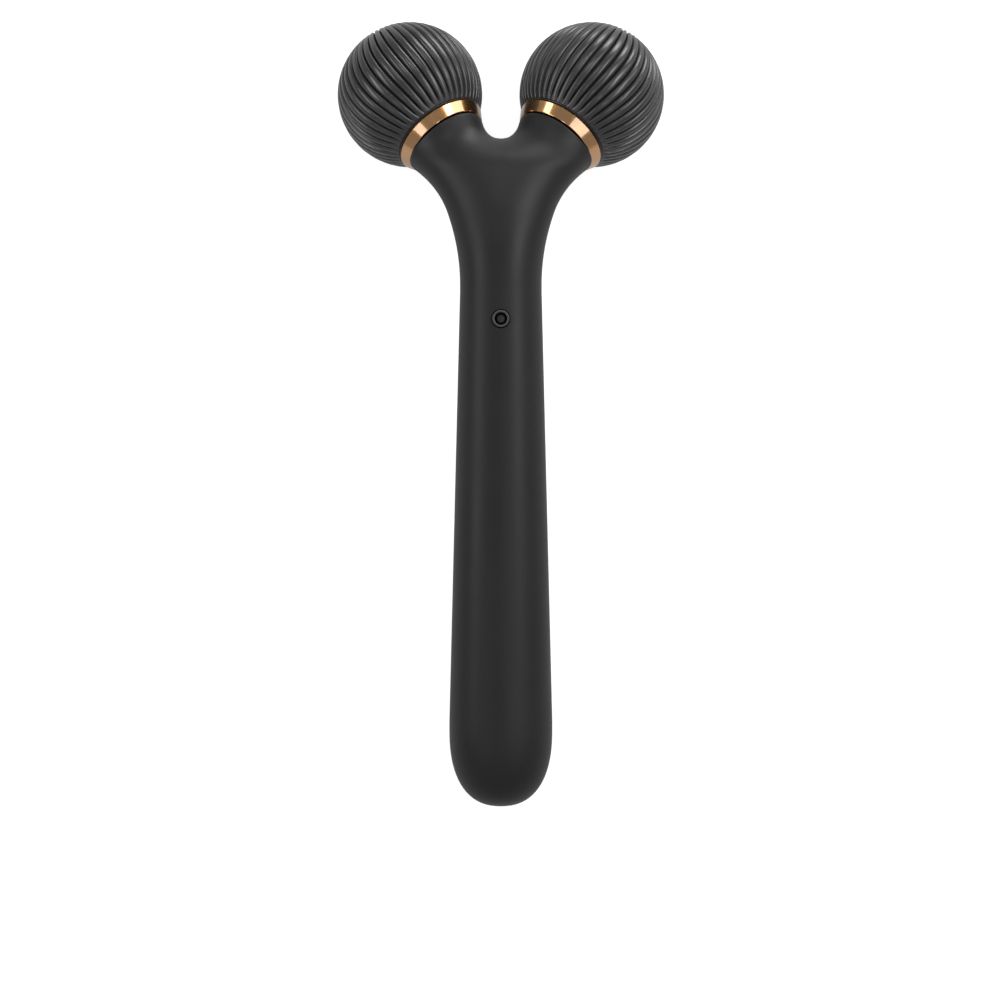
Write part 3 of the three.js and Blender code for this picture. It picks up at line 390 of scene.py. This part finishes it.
def arm_skin(first_row, inset, facing):
    """Rows of one half of the right arm, and the angle about the arm of each point."""
    from_fork = first_row - FORK
    first_angles = np.arctan2(from_fork @ ARM_PLANE, from_fork @ ARM_OUTER)
    seam_angle = math.asin(SEAM_LIP / ARM_END_RADIUS)
    last_angles = facing * np.linspace(seam_angle, math.pi - seam_angle, HALF_COLUMNS + 1)
    shares = np.linspace(0, 1, ARM_ROWS + 1)[1:, None]
    angles = lerp(first_angles, last_angles, smoothstep(shares, 0, 1))
    distances = lerp(from_fork @ ARM, ARM_LENGTH - END_RADIUS, shares)
    rows = [first_row, *cast(FORK + distances[..., None] * ARM, around_arm(angles), inset)]
    row_angles = [first_angles, *angles]
    for bend in np.linspace(0, math.pi / 2, EDGE_STEPS + 1)[1:]:
        foot = FORK + (ARM_LENGTH - END_RADIUS * (1 - math.sin(bend))) * ARM
        edge_inset = max(inset, FACET_SAG + END_RADIUS * (1 - math.cos(bend)))
        rows.append(cast(foot, around_arm(last_angles), edge_inset))
        row_angles.append(last_angles)
    return rows, row_angles


def tangent_round_arm(angle):
    return math.cos(angle) * ARM_PLANE - math.sin(angle) * ARM_OUTER


def arm_loops(outer_first, inner_first, facing):
    outer_rows, angles = arm_skin(outer_first, FACET_SAG, facing)
    inner_rows, _ = arm_skin(inner_first, WALL, facing)
    loops = []
    for number, (outer, inner) in enumerate(zip(outer_rows, inner_rows)):
        towards_first = -facing * tangent_round_arm(angles[number][0])
        if number == 0:
            towards_first = np.array((0, 0, -facing))
        towards_last = facing * tangent_round_arm(angles[number][-1])
        loops.append(closed_loop(outer, inner, towards_first, towards_last))
    return loops


def join_rings(mesh, rings):
    """Quads between each ring of vertices and the next, or triangles where a ring is one vertex repeated."""
    for lower, upper in zip(rings, rings[1:]):
        for i in range(len(lower)):
            following = (i + 1) % len(lower)
            corners = dict.fromkeys((lower[i], lower[following], upper[following], upper[i]))
            if len(corners) > 2:
                mesh.faces.new(tuple(corners))


def add_bands(mesh, loops):
    """Quads between each closed loop of points and the next."""
    rings = [[mesh.verts.new(point) for point in loop] for loop in loops]
    join_rings(mesh, rings)
    return rings


def close_end(mesh, ring):
    """Quads from the outer skin to the inner one across the last loop of an arm, and its two seam corners."""
    columns = HALF_COLUMNS + 1
    outer = ring[:columns]
    inner = ring[columns + EDGE_STEPS : 2 * columns + EDGE_STEPS][::-1]
    for i in range(HALF_COLUMNS):
        mesh.faces.new((outer[i], outer[i + 1], inner[i + 1], inner[i]))
    mesh.faces.new((outer[-1], *ring[columns : columns + EDGE_STEPS], inner[-1]))
    mesh.faces.new((inner[0], *ring[2 * columns + EDGE_STEPS :], outer[0]))


def casing_half(facing):
    mesh = bmesh.new()
    towards = np.array((0, 0, -facing))
    outer_rows = [handle_row(y, FACET_SAG, facing) for y in row_heights(FACET_SAG)]
    inner_rows = [handle_row(y, WALL, facing) for y in row_heights(WALL)]
    loops = [closed_loop(outer, inner, towards, towards) for outer, inner in zip(outer_rows, inner_rows)]
    add_bands(mesh, [tip_loop(facing), *loops])
    half = HALF_COLUMNS // 2 + 1
    outer_first = np.concatenate((outer_rows[-1][:half], crotch_edge(FACET_SAG, facing)))
    inner_first = np.concatenate((inner_rows[-1][:half], crotch_edge(WALL, facing)))
    right = arm_loops(outer_first, inner_first, facing)
    for loop in right:
        loop[np.abs(loop[:, 0]) < ON_MIDDLE, 0] = 0
    for loops in (right, [loop * MIRROR for loop in right]):
        rings = add_bands(mesh, loops)
        close_end(mesh, rings[-1])
    bmesh.ops.remove_doubles(mesh, verts=mesh.verts, dist=WELD_DISTANCE)
    bmesh.ops.recalc_face_normals(mesh, faces=mesh.faces)
    return mesh


# Turned shapes and places


def turned(profile, sides):
    """A closed solid turned about Y, from (radius, height) corners that join up or end on the axis."""
    mesh = bmesh.new()
    angles = np.linspace(0, 2 * math.pi, sides, endpoint=False)
    rings = []
    for radius, height in profile:
        if radius == 0:
            rings.append([mesh.verts.new((0, height, 0))] * sides)
        else:
            rings.append([
                mesh.verts.new((radius * math.sin(angle), height, radius * math.cos(angle)))
                for angle in angles
            ])
    joins_up = profile[0][0] > 0
    join_rings(mesh, rings + rings[:1] if joins_up else rings)
    bmesh.ops.recalc_face_normals(mesh, faces=mesh.faces)
    return mesh


def rounded(corner, start_angle, end_angle, radius, steps=EDGE_STEPS):
    """Points of an arc about corner, with angles from the radius direction towards the height direction."""
    return [
        (corner[0] + radius * math.cos(angle), corner[1] + radius * math.sin(angle))
        for angle in np.linspace(start_angle, end_angle, steps + 1)
    ]


def handle_to_row():
    """From millimetres in the handle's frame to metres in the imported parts' frame."""
    front = -Vector(joints["button_press"]["axis"])
    across = Vector((1, 0, 0))
    turn = Matrix((across, front.cross(across), front)).transposed()
    spin = joints["right_ball_spin"]
    centre = Vector(spin["pos_m"])
    along = Vector(spin["axis"])
    fork = centre - along * (centre.x / along.x)
    matrix = (turn * MM).to_4x4()
    matrix.translation = fork - turn @ Vector(FORK) * MM
    return matrix


to_row = handle_to_row()
HERE = Matrix.Identity(4)


def arm_frame(side):
    """Place of the right (1) or left (-1) arm's own frame in the handle's, with Y along the arm."""
    along = Vector(ARM * (side, 1, 1))
    front = Vector((0, 0, 1))
    front = (front - along * front.dot(along)).normalized()
    matrix = Matrix((along.cross(front), along, front)).transposed().to_4x4()
    matrix.translation = Vector(FORK)
    return matrix


def upright_frame(x, y):
    """Place of a piece drawn along Y that stands on the handle's front direction at x, y."""
    return Matrix.Translation((x, y, 0)) @ Matrix.Rotation(math.pi / 2, 4, "X")


def add_object(name, data):
    """Puts a new object with this mesh, camera or light in the scene."""
    added = bpy.data.objects.new(name, data)
    bpy.context.scene.collection.objects.link(added)
    return added


def add_mesh(name, mesh, matrix):
    """Puts a mesh in the scene, moved by matrix."""
    data = bpy.data.meshes.new(name)
    mesh.transform(matrix)
    mesh.to_mesh(data)
    mesh.free()
    return add_object(name, data)


def soften(data, sharp_angle):
    data.shade_smooth()
    data.set_sharp_from_angle(angle=sharp_angle)


def add_piece(name, mesh, place, material, sharp_angle=SHARP_ANGLE):
    piece = add_mesh(name, mesh, to_row @ place)
    soften(piece.data, sharp_angle)
    piece.data.materials.append(material)
    return piece


def carve(piece, cutter_mesh, place):
    """Cuts a closed shape out of a piece."""
    cutter = add_mesh("cutter", cutter_mesh, to_row @ place)
    modifier = piece.modifiers.new("carve", "BOOLEAN")
    modifier.operation = "DIFFERENCE"
    modifier.solver = "EXACT"
    modifier.object = cutter
    bpy.context.view_layer.update()
    depsgraph = bpy.context.evaluated_depsgraph_get()
    carved = bpy.data.meshes.new_from_object(piece.evaluated_get(depsgraph))
    piece.modifiers.clear()
    bpy.data.objects.remove(cutter)
    piece.data = carved
    soften(carved, SHARP_ANGLE)


# Materials


class Nodes:
    """A material's node tree, with short calls to add and join nodes."""

    def __init__(self, name):
        self.material = bpy.data.materials.new(name)
        self.material.use_nodes = True
        self.tree = self.material.node_tree
        self.shader = self.tree.nodes["Principled BSDF"]
        self.place = self.tree.nodes.new("ShaderNodeTexCoord").outputs["Object"]

    def add(self, kind, **values):
        node = self.tree.nodes.new(kind)
        for key, value in values.items():
            node.inputs[key.replace("_", " ")].default_value = value
        return node

    def join(self, output, entry):
        self.tree.links.new(output, entry)

    def noise(self, scale, detail=CLOUD_DETAIL):
        node = self.add("ShaderNodeTexNoise", Scale=scale, Detail=detail)
        self.join(self.place, node.inputs["Vector"])
        return node.outputs["Fac"]

    def spread(self, value, low, high):
        """The range of a noise mapped to low to high."""
        node = self.add("ShaderNodeMapRange", From_Min=NOISE_LOW, From_Max=NOISE_HIGH)
        node.inputs["To Min"].default_value = low
        node.inputs["To Max"].default_value = high
        self.join(value, node.inputs["Value"])
        return node.outputs["Result"]

    def blend(self, share, first, second):
        """A mix of two colours, by a share from 0 to 1."""
        node = self.tree.nodes.new("ShaderNodeMix")
        node.data_type = "RGBA"
        colours = [entry for entry in node.inputs if entry.type == "RGBA"]
        colours[0].default_value = (*first, 1)
        colours[1].default_value = (*second, 1)
        self.join(share, node.inputs["Factor"])
        return next(output for output in node.outputs if output.type == "RGBA")

    def maths(self, operation, *values, clamp=False):
        """A Math node, whose values are numbers or outputs of other nodes."""
        node = self.tree.nodes.new("ShaderNodeMath")
        node.operation = operation
        node.use_clamp = clamp
        for entry, value in zip(node.inputs, values):
            if isinstance(value, float):
                entry.default_value = value
            else:
                self.join(value, entry)
        return node.outputs["Value"]

    def grain(self, size, strength, height):
        """A fine bump with grains of this size and height, in millimetres."""
        node = self.add("ShaderNodeBump", Strength=strength, Distance=height * MM)
        self.join(self.noise(1 / (size * MM), GRAIN_DETAIL), node.inputs["Height"])
        self.join(node.outputs["Normal"], self.shader.inputs["Normal"])

    def set(self, **values):
        for key, value in values.items():
            self.shader.inputs[key.replace("_", " ")].default_value = value


def shade(colour, factor):
    return tuple(min(channel * factor, 1) for channel in colour)


def shades(colour, spread):
    """A darker and a lighter shade of a colour."""
    return shade(colour, 1 - spread), shade(colour, 1 + spread)


def moulded(name, colour, roughness, specular=0.5, grain=0.4, grain_size=0.25):
    """Moulded plastic or rubber: faint clouding, uneven gloss and a fine grain of grain_size millimetres."""
    nodes = Nodes(name)
    cloud = nodes.noise(PLASTIC_CLOUDS)
    tint = nodes.blend(cloud, *shades(colour, PLASTIC_TINT_SPREAD))
    gloss = nodes.spread(cloud, roughness - PLASTIC_GLOSS_SPREAD, roughness + PLASTIC_GLOSS_SPREAD)
    nodes.join(tint, nodes.shader.inputs["Base Color"])
    nodes.join(gloss, nodes.shader.inputs["Roughness"])
    nodes.grain(grain_size, grain, PLASTIC_GRAIN_HEIGHT)
    nodes.set(Specular_IOR_Level=specular)
    return nodes.material


def metal(name, colour, roughness, grain=0.1, grain_size=0.1, lacquer=0.0):
    """Bare or plated metal with slightly uneven polish, and a share of clear lacquer on it."""
    nodes = Nodes(name)
    tint = nodes.blend(nodes.noise(METAL_TINT_CLOUDS), *shades(colour, METAL_TINT_SPREAD))
    least = roughness * (1 - METAL_GLOSS_SPREAD)
    most = roughness * (1 + METAL_GLOSS_SPREAD)
    gloss = nodes.spread(nodes.noise(METAL_GLOSS_CLOUDS), least, most)
    nodes.join(tint, nodes.shader.inputs["Base Color"])
    nodes.join(gloss, nodes.shader.inputs["Roughness"])
    nodes.grain(grain_size, grain, METAL_GRAIN_HEIGHT)
    nodes.set(Metallic=1.0, Coat_Weight=lacquer, Coat_Roughness=LACQUER_ROUGHNESS, Coat_IOR=LACQUER_IOR)
    return nodes.material


# By slot: colour, roughness and, where they aren't the usual ones, specular level, grain and its size
materials = {
    "soft_touch_black": moulded(
        "soft_touch", (0.018, 0.018, 0.0184), 0.43, specular=0.27, grain=0.15, grain_size=0.12
    ),
    "ball_black": moulded(
        "ball_satin", (0.026, 0.026, 0.0265), 0.28, specular=0.7, grain=0.15, grain_size=0.15
    ),
    "button_satin": moulded(
        "button_satin", (0.065, 0.065, 0.066), 0.4, specular=0.4, grain=0.1, grain_size=0.1
    ),
    "rose_gold": metal("rose_gold", (0.53, 0.235, 0.042), 0.2, grain=0.03, lacquer=1.0),
    "inner_plastic": moulded("inner_plastic", (0.03, 0.03, 0.032), 0.5),
    "steel": metal("steel", (0.55, 0.56, 0.57), 0.3),
    "bronze": metal("bronze", (0.45, 0.28, 0.12), 0.45, grain=0.3),
    "lens": moulded("lens", (0.7, 0.72, 0.75), 0.3),
    "smoke_lens": moulded("smoke_lens", (0.028, 0.028, 0.029), 0.45, specular=0.25, grain=0.05),
    # Near black for the button's dish: painted shade in the recess, darker than the button's own plastic
    "painted_recess_shade": moulded("painted_recess_shade", (0.012, 0.012, 0.012), 0.6, specular=0.15),
    "board_green": moulded("solder_mask", (0.02, 0.1, 0.05), 0.35, grain=0.6, grain_size=0.6),
    "chip_black": moulded("chip_black", (0.015, 0.015, 0.016), 0.45),
    "connector_white": moulded("connector_white", (0.75, 0.72, 0.64), 0.45),
    "cell_wrap": moulded("cell_wrap", (0.03, 0.13, 0.33), 0.3),
    "foam": moulded("foam", (0.08, 0.08, 0.085), 0.95, grain=1.0, grain_size=0.6),
    "rubber": moulded("rubber", (0.02, 0.02, 0.02), 0.75),
    "lead_red": moulded("lead_red", (0.4, 0.02, 0.02), 0.4),
    "lead_black": moulded("lead_black", (0.015, 0.015, 0.015), 0.4),
    "contact_gold": metal("contact_gold", (0.75, 0.52, 0.2), 0.2),
}


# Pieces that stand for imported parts


def skin_z(y, facing):
    """Height of the skin in the middle of its front (facing 1) or its back (facing -1)."""
    return cast(np.array((0, y, centre_z(y))), np.array((0.0, 0, facing)), 0)[2]


LIP_Z = skin_z(BUTTON_Y, 1) + BUTTON_PROUD
LIGHT_PIPE_TOP = LIP_Z - LIGHT_PIPE_SUNK
LIGHT_PIPE_BOTTOM = LIGHT_PIPE_TOP - LIGHT_PIPE_LENGTH
LAND_Z = skin_z(CHARGE_Y, -1) + LAND_DEPTH


def plug_mesh(radius, bottom, top):
    return turned([(0, bottom), (radius, bottom), (radius, top), (0, top)], SMALL_SIDES)


def add_front_casing():
    casing = add_piece("front_casing", casing_half(1), HERE, materials["soft_touch_black"])
    well_above_lip = 2 * LIP_Z
    carve(casing, plug_mesh(BUTTON_HOLE_RADIUS, 0, well_above_lip), upright_frame(0, BUTTON_Y))
    return casing


def box_mesh(low, high):
    mesh = bmesh.new()
    size = Vector(high) - Vector(low)
    middle = (Vector(high) + Vector(low)) / 2
    bmesh.ops.create_cube(mesh, size=1, matrix=Matrix.Translation(middle) @ Matrix.Diagonal((*size, 1)))
    return mesh


def add_rear_casing():
    casing = add_piece("rear_casing", casing_half(-1), HERE, materials["soft_touch_black"])
    low = (-LAND_WIDTH, CHARGE_Y - LAND_LENGTH / 2, LAND_Z - WALL)
    high = (LAND_WIDTH, CHARGE_Y + LAND_LENGTH / 2, LAND_Z)
    carve(casing, box_mesh(low, high), HERE)
    for side in (-1, 1):
        hole = plug_mesh(CONTACT_HOLE_RADIUS, LAND_Z - WALL, LAND_Z + 2 * WALL)
        carve(casing, hole, upright_frame(0, CHARGE_Y + side * CONTACT_PITCH / 2))
    return casing


def trim_ring_mesh():
    """A cone that widens towards the ball, with a narrow bright chamfer on each edge."""
    return turned([
        (RING_BORE_RADIUS, RING_START),
        (RING_ARM_SIDE_RADIUS - RING_ARM_CHAMFER, RING_START),
        (RING_ARM_SIDE_RADIUS, RING_START + RING_ARM_CHAMFER),
        (RING_BALL_SIDE_RADIUS, RING_END - RING_CHAMFER),
        (RING_BALL_SIDE_RADIUS - RING_BEND_INWARDS, RING_END - RING_BEND_DOWN),
        (RING_BALL_SIDE_RADIUS - RING_CHAMFER, RING_END),
        (RING_BORE_RADIUS, RING_END),
    ], TURNED_SIDES)


def rib_fade(angle):
    at_pole = smoothstep(angle, RIB_POLE_ANGLE, RIB_FULL_ANGLE)
    return at_pole * smoothstep(BALL_RIM_ANGLE - angle, 0, RIB_FADE_ANGLE)


def rib_twist(angle):
    latitude = math.pi / 2 - angle
    return sum(factor * latitude**power for power, factor in enumerate(RIB_TWIST))


def ball_profile():
    """Corners of (radius, height, angle from the far pole), from that pole over the outside to the inside."""
    edge_angle = BALL_EDGE_RADIUS / BALL_RADIUS
    profile = [(0, BALL_CENTRE + BALL_RADIUS, 0)]
    for angle in np.linspace(0, BALL_RIM_ANGLE - edge_angle, BALL_ROWS + 1)[1:]:
        profile.append((BALL_RADIUS * math.sin(angle), BALL_CENTRE + BALL_RADIUS * math.cos(angle), angle))
    bend_centre = (BALL_RIM_RADIUS - BALL_EDGE_RADIUS, BALL_CUT + BALL_EDGE_RADIUS)
    for radius, height in rounded(bend_centre, BALL_EDGE_START, -math.pi / 2, BALL_EDGE_RADIUS):
        profile.append((radius, height, math.pi))
    mouth_end = BALL_CUT + BALL_MOUTH_DEPTH
    profile.append((BALL_MOUTH_RADIUS, BALL_CUT, math.pi))
    profile.append((BALL_MOUTH_RADIUS, mouth_end, math.pi))
    room = BALL_RADIUS - BALL_WALL
    first = math.acos((mouth_end - BALL_CENTRE) / room)
    for angle in np.linspace(first, 0, BALL_INNER_ROWS + 1):
        profile.append((room * math.sin(angle), BALL_CENTRE + room * math.cos(angle), math.pi))
    return profile


def ribbed_ball_mesh(side):
    """A hollow ball with twisted ribs: rounded crests and sharp valleys."""
    mesh = bmesh.new()
    columns = RIB_COUNT * RIB_COLUMNS
    steps = np.arange(columns)
    across_rib = np.sin(math.pi * ((steps % RIB_COLUMNS) / RIB_COLUMNS - 0.5))
    drop = np.abs(across_rib) ** RIB_FLATNESS
    shares = (steps // RIB_COLUMNS + (across_rib + 1) / 2) / RIB_COUNT
    rings = []
    for radius, height, angle in ball_profile():
        if radius == 0:
            rings.append([mesh.verts.new((0, height, 0))] * columns)
            continue
        around = 2 * math.pi * shares - side * rib_twist(angle)
        sunk = RIB_DEPTH * rib_fade(angle) * drop
        radii = radius - sunk * math.sin(angle)
        heights = height - sunk * math.cos(angle)
        points = np.stack((radii * np.sin(around), heights, radii * np.cos(around)), -1)
        rings.append([mesh.verts.new(point) for point in points])
    join_rings(mesh, rings)
    bmesh.ops.recalc_face_normals(mesh, faces=mesh.faces)
    return mesh


def button_cap_mesh():
    """A cap with a rounded lip, a dish and the well of the light pipe; the dish takes its second material, a
    near-black one that paints the shade in the recess.
    """
    edge = BUTTON_EDGE_RADIUS
    dish_z = LIP_Z - BUTTON_DISH_DEPTH
    well_radius = LIGHT_PIPE_RADIUS + LIGHT_PIPE_GAP
    outer_edge = rounded((BUTTON_RADIUS - edge, LIP_Z - edge), 0, math.pi / 2, edge)
    inner_edge = rounded((BUTTON_DISH_RADIUS + edge, LIP_Z - edge), math.pi / 2, math.pi, edge)
    dish_bend = rounded((BUTTON_DISH_RADIUS - edge, dish_z + edge), 0, -math.pi / 2, edge)
    well_floor = LIGHT_PIPE_BOTTOM - LIGHT_PIPE_GAP
    mesh = turned([
        (0, LIP_Z - BUTTON_BODY_DEPTH),
        (BUTTON_RADIUS, LIP_Z - BUTTON_BODY_DEPTH),
        *outer_edge,
        *inner_edge,
        *dish_bend,
        (well_radius, dish_z),
        (well_radius, well_floor),
        (0, well_floor),
    ], SMALL_SIDES)
    # Faces inside the dish take the second material, which paints the shade in the recess
    for face in mesh.faces:
        x, height, z = face.calc_center_median()
        if math.hypot(x, z) < BUTTON_DISH_RADIUS and height < LIP_Z - edge:
            face.material_index = 1
    return mesh


def light_pipe_mesh():
    """A pin with a domed top in the button's dish."""
    angles = np.linspace(0, math.pi / 2, 2 * EDGE_STEPS + 1)
    crown = [
        (LIGHT_PIPE_RADIUS * math.cos(angle), LIGHT_PIPE_TOP - LIGHT_PIPE_DOME * (1 - math.sin(angle)))
        for angle in angles[:-1]
    ]
    return turned([
        (0, LIGHT_PIPE_BOTTOM),
        (LIGHT_PIPE_RADIUS, LIGHT_PIPE_BOTTOM),
        *crown,
        (0, LIGHT_PIPE_TOP),
    ], SMALL_SIDES)


def contact_mesh():
    """A domed contact pin that faces backwards."""
    edge = CONTACT_EDGE_RADIUS
    face = LAND_Z + CONTACT_RECESS
    inner_end = face + CONTACT_LENGTH
    bend = rounded((CONTACT_RADIUS - edge, face + edge), -math.pi / 2, 0, edge)
    return turned([(0, face), *bend, (CONTACT_RADIUS, inner_end), (0, inner_end)], SMALL_SIDES)


def stand_for(piece, body, slot, *nodes):
    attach(piece, body)
    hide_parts(*nodes)


def add_pieces():
    stand_for(add_front_casing(), "handle", "soft_touch_black", "front_shell")
    stand_for(add_rear_casing(), "handle", "soft_touch_black", "rear_shell")
    gold = materials["rose_gold"]
    for side, name in ((-1, "left"), (1, "right")):
        place = arm_frame(side)
        ring = add_piece(f"gold_ring_{name}", trim_ring_mesh(), place, gold, RING_SHARP_ANGLE)
        stand_for(ring, "handle", "rose_gold", f"trim_ring_{name}")
        ball = add_piece(f"ribbed_ball_{name}", ribbed_ball_mesh(side), place, materials["ball_black"])
        stand_for(ball, f"{name}_ball", "ball_black", f"ball_shell_{name}")
    on_button = upright_frame(0, BUTTON_Y)
    cap = add_piece("button_top", button_cap_mesh(), on_button, materials["button_satin"])
    # Second material of the cap: painted shade on its dish
    cap.data.materials.append(materials["painted_recess_shade"])
    stand_for(cap, "button", "soft_touch_black", "button_cap")
    pipe = add_piece("button_lens", light_pipe_mesh(), on_button, materials["smoke_lens"])
    stand_for(pipe, "button", "lens", "button_light_pipe")
    for side, name in ((-1, "lower"), (1, "upper")):
        place = upright_frame(0, CHARGE_Y + side * CONTACT_PITCH / 2)
        contact = add_piece(f"contact_pin_{name}", contact_mesh(), place, materials["contact_gold"])
        stand_for(contact, "handle", "contact_gold", f"charge_contact_{name}")


def dress_packed_parts():
    for part in frame["record"]["subparts"]:
        node = frame["nodes"][part["node"]]
        node.material_slots[0].material = materials[part["material_slot"]]


# Stage


def floor_material():
    """Pale matt floor that shows white, with the shadow kept."""
    nodes = Nodes("studio_floor")
    path = nodes.tree.nodes.new("ShaderNodeLightPath").outputs
    seen = nodes.maths("MULTIPLY_ADD", path["Is Glossy Ray"], FLOOR_GLOW_REFLECTED, path["Is Camera Ray"])
    seen = nodes.maths("ADD", seen, path["Is Transmission Ray"], clamp=True)
    glow = nodes.maths("MULTIPLY", seen, FLOOR_GLOW)
    nodes.join(glow, nodes.shader.inputs["Emission Strength"])
    nodes.set(Base_Color=FLOOR_COLOUR, Roughness=FLOOR_ROUGHNESS, Specular_IOR_Level=FLOOR_SPECULAR)
    nodes.set(Emission_Color=WHITE)
    return nodes.material


def add_floor():
    """A flat disc that curves up into a low wall all round."""
    bends = np.linspace(0, math.pi / 2, COVE_ROWS + 1)
    radii = [*(FLOOR_RADIUS + COVE_RADIUS * np.sin(bends)), FLOOR_RADIUS + COVE_RADIUS]
    heights = [*(COVE_RADIUS * (1 - np.cos(bends))), FLOOR_WALL_TOP]
    angles = np.linspace(0, 2 * math.pi, FLOOR_SIDES, endpoint=False)
    mesh = bmesh.new()
    centre = mesh.verts.new((0, 0, 0))
    rings = []
    for radius, height in zip(radii, heights):
        rings.append([
            mesh.verts.new((radius * math.cos(angle), radius * math.sin(angle), height))
            for angle in angles
        ])
    for first, second in zip(rings[0], rings[0][1:] + rings[0][:1]):
        mesh.faces.new((centre, first, second))
    join_rings(mesh, rings)
    floor = add_mesh("studio_floor", mesh, HERE)
    floor.data.shade_smooth()
    floor.data.materials.append(floor_material())


def aim(thing, place, target, up):
    """Stands a camera or light at place, facing target, with up towards the top of its picture."""
    back = (place - target).normalized()
    right = up.cross(back).normalized()
    matrix = Matrix((right, back.cross(right), back)).transposed().to_4x4()
    matrix.translation = place
    thing.matrix_world = matrix


def add_camera():
    data = bpy.data.cameras.new("camera")
    data.sensor_width = SENSOR_WIDTH
    data.lens = SENSOR_WIDTH * CAMERA_DISTANCE / PHOTO_SPAN
    data.clip_start = CLIP_START
    camera = add_object("camera", data)
    turn = to_row.to_3x3() * (1 / MM)
    place = to_row @ (CAMERA_AIM + Vector((0, 0, CAMERA_DISTANCE)))
    aim(camera, place, to_row @ CAMERA_AIM, turn @ Vector((0, 1, 0)))
    bpy.context.scene.camera = camera


def softbox(name, place, width, height, upwards, radiance):
    """An area light that faces the target, with its height along upwards."""
    data = bpy.data.lights.new(name, "AREA")
    data.shape = "RECTANGLE"
    data.size = width * MM
    data.size_y = height * MM
    data.energy = radiance * math.pi * data.size * data.size_y
    light = add_object(name, data)
    light.visible_camera = False
    up = (to_row.to_3x3() @ Vector(upwards)).normalized()
    aim(light, to_row @ Vector(place), to_row @ Vector(LIGHT_TARGET), up)


def add_lights():
    for name, box in SOFTBOXES.items():
        softbox(name, *box)
    world = bpy.data.worlds.new("studio")
    world.use_nodes = True
    background = world.node_tree.nodes["Background"]
    background.inputs["Color"].default_value = WHITE
    background.inputs["Strength"].default_value = WORLD_STRENGTH
    bpy.context.scene.world = world


add_camera()
add_pieces()
dress_packed_parts()
add_floor()
add_lights()
bpy.context.scene.view_settings.view_transform = "Standard"
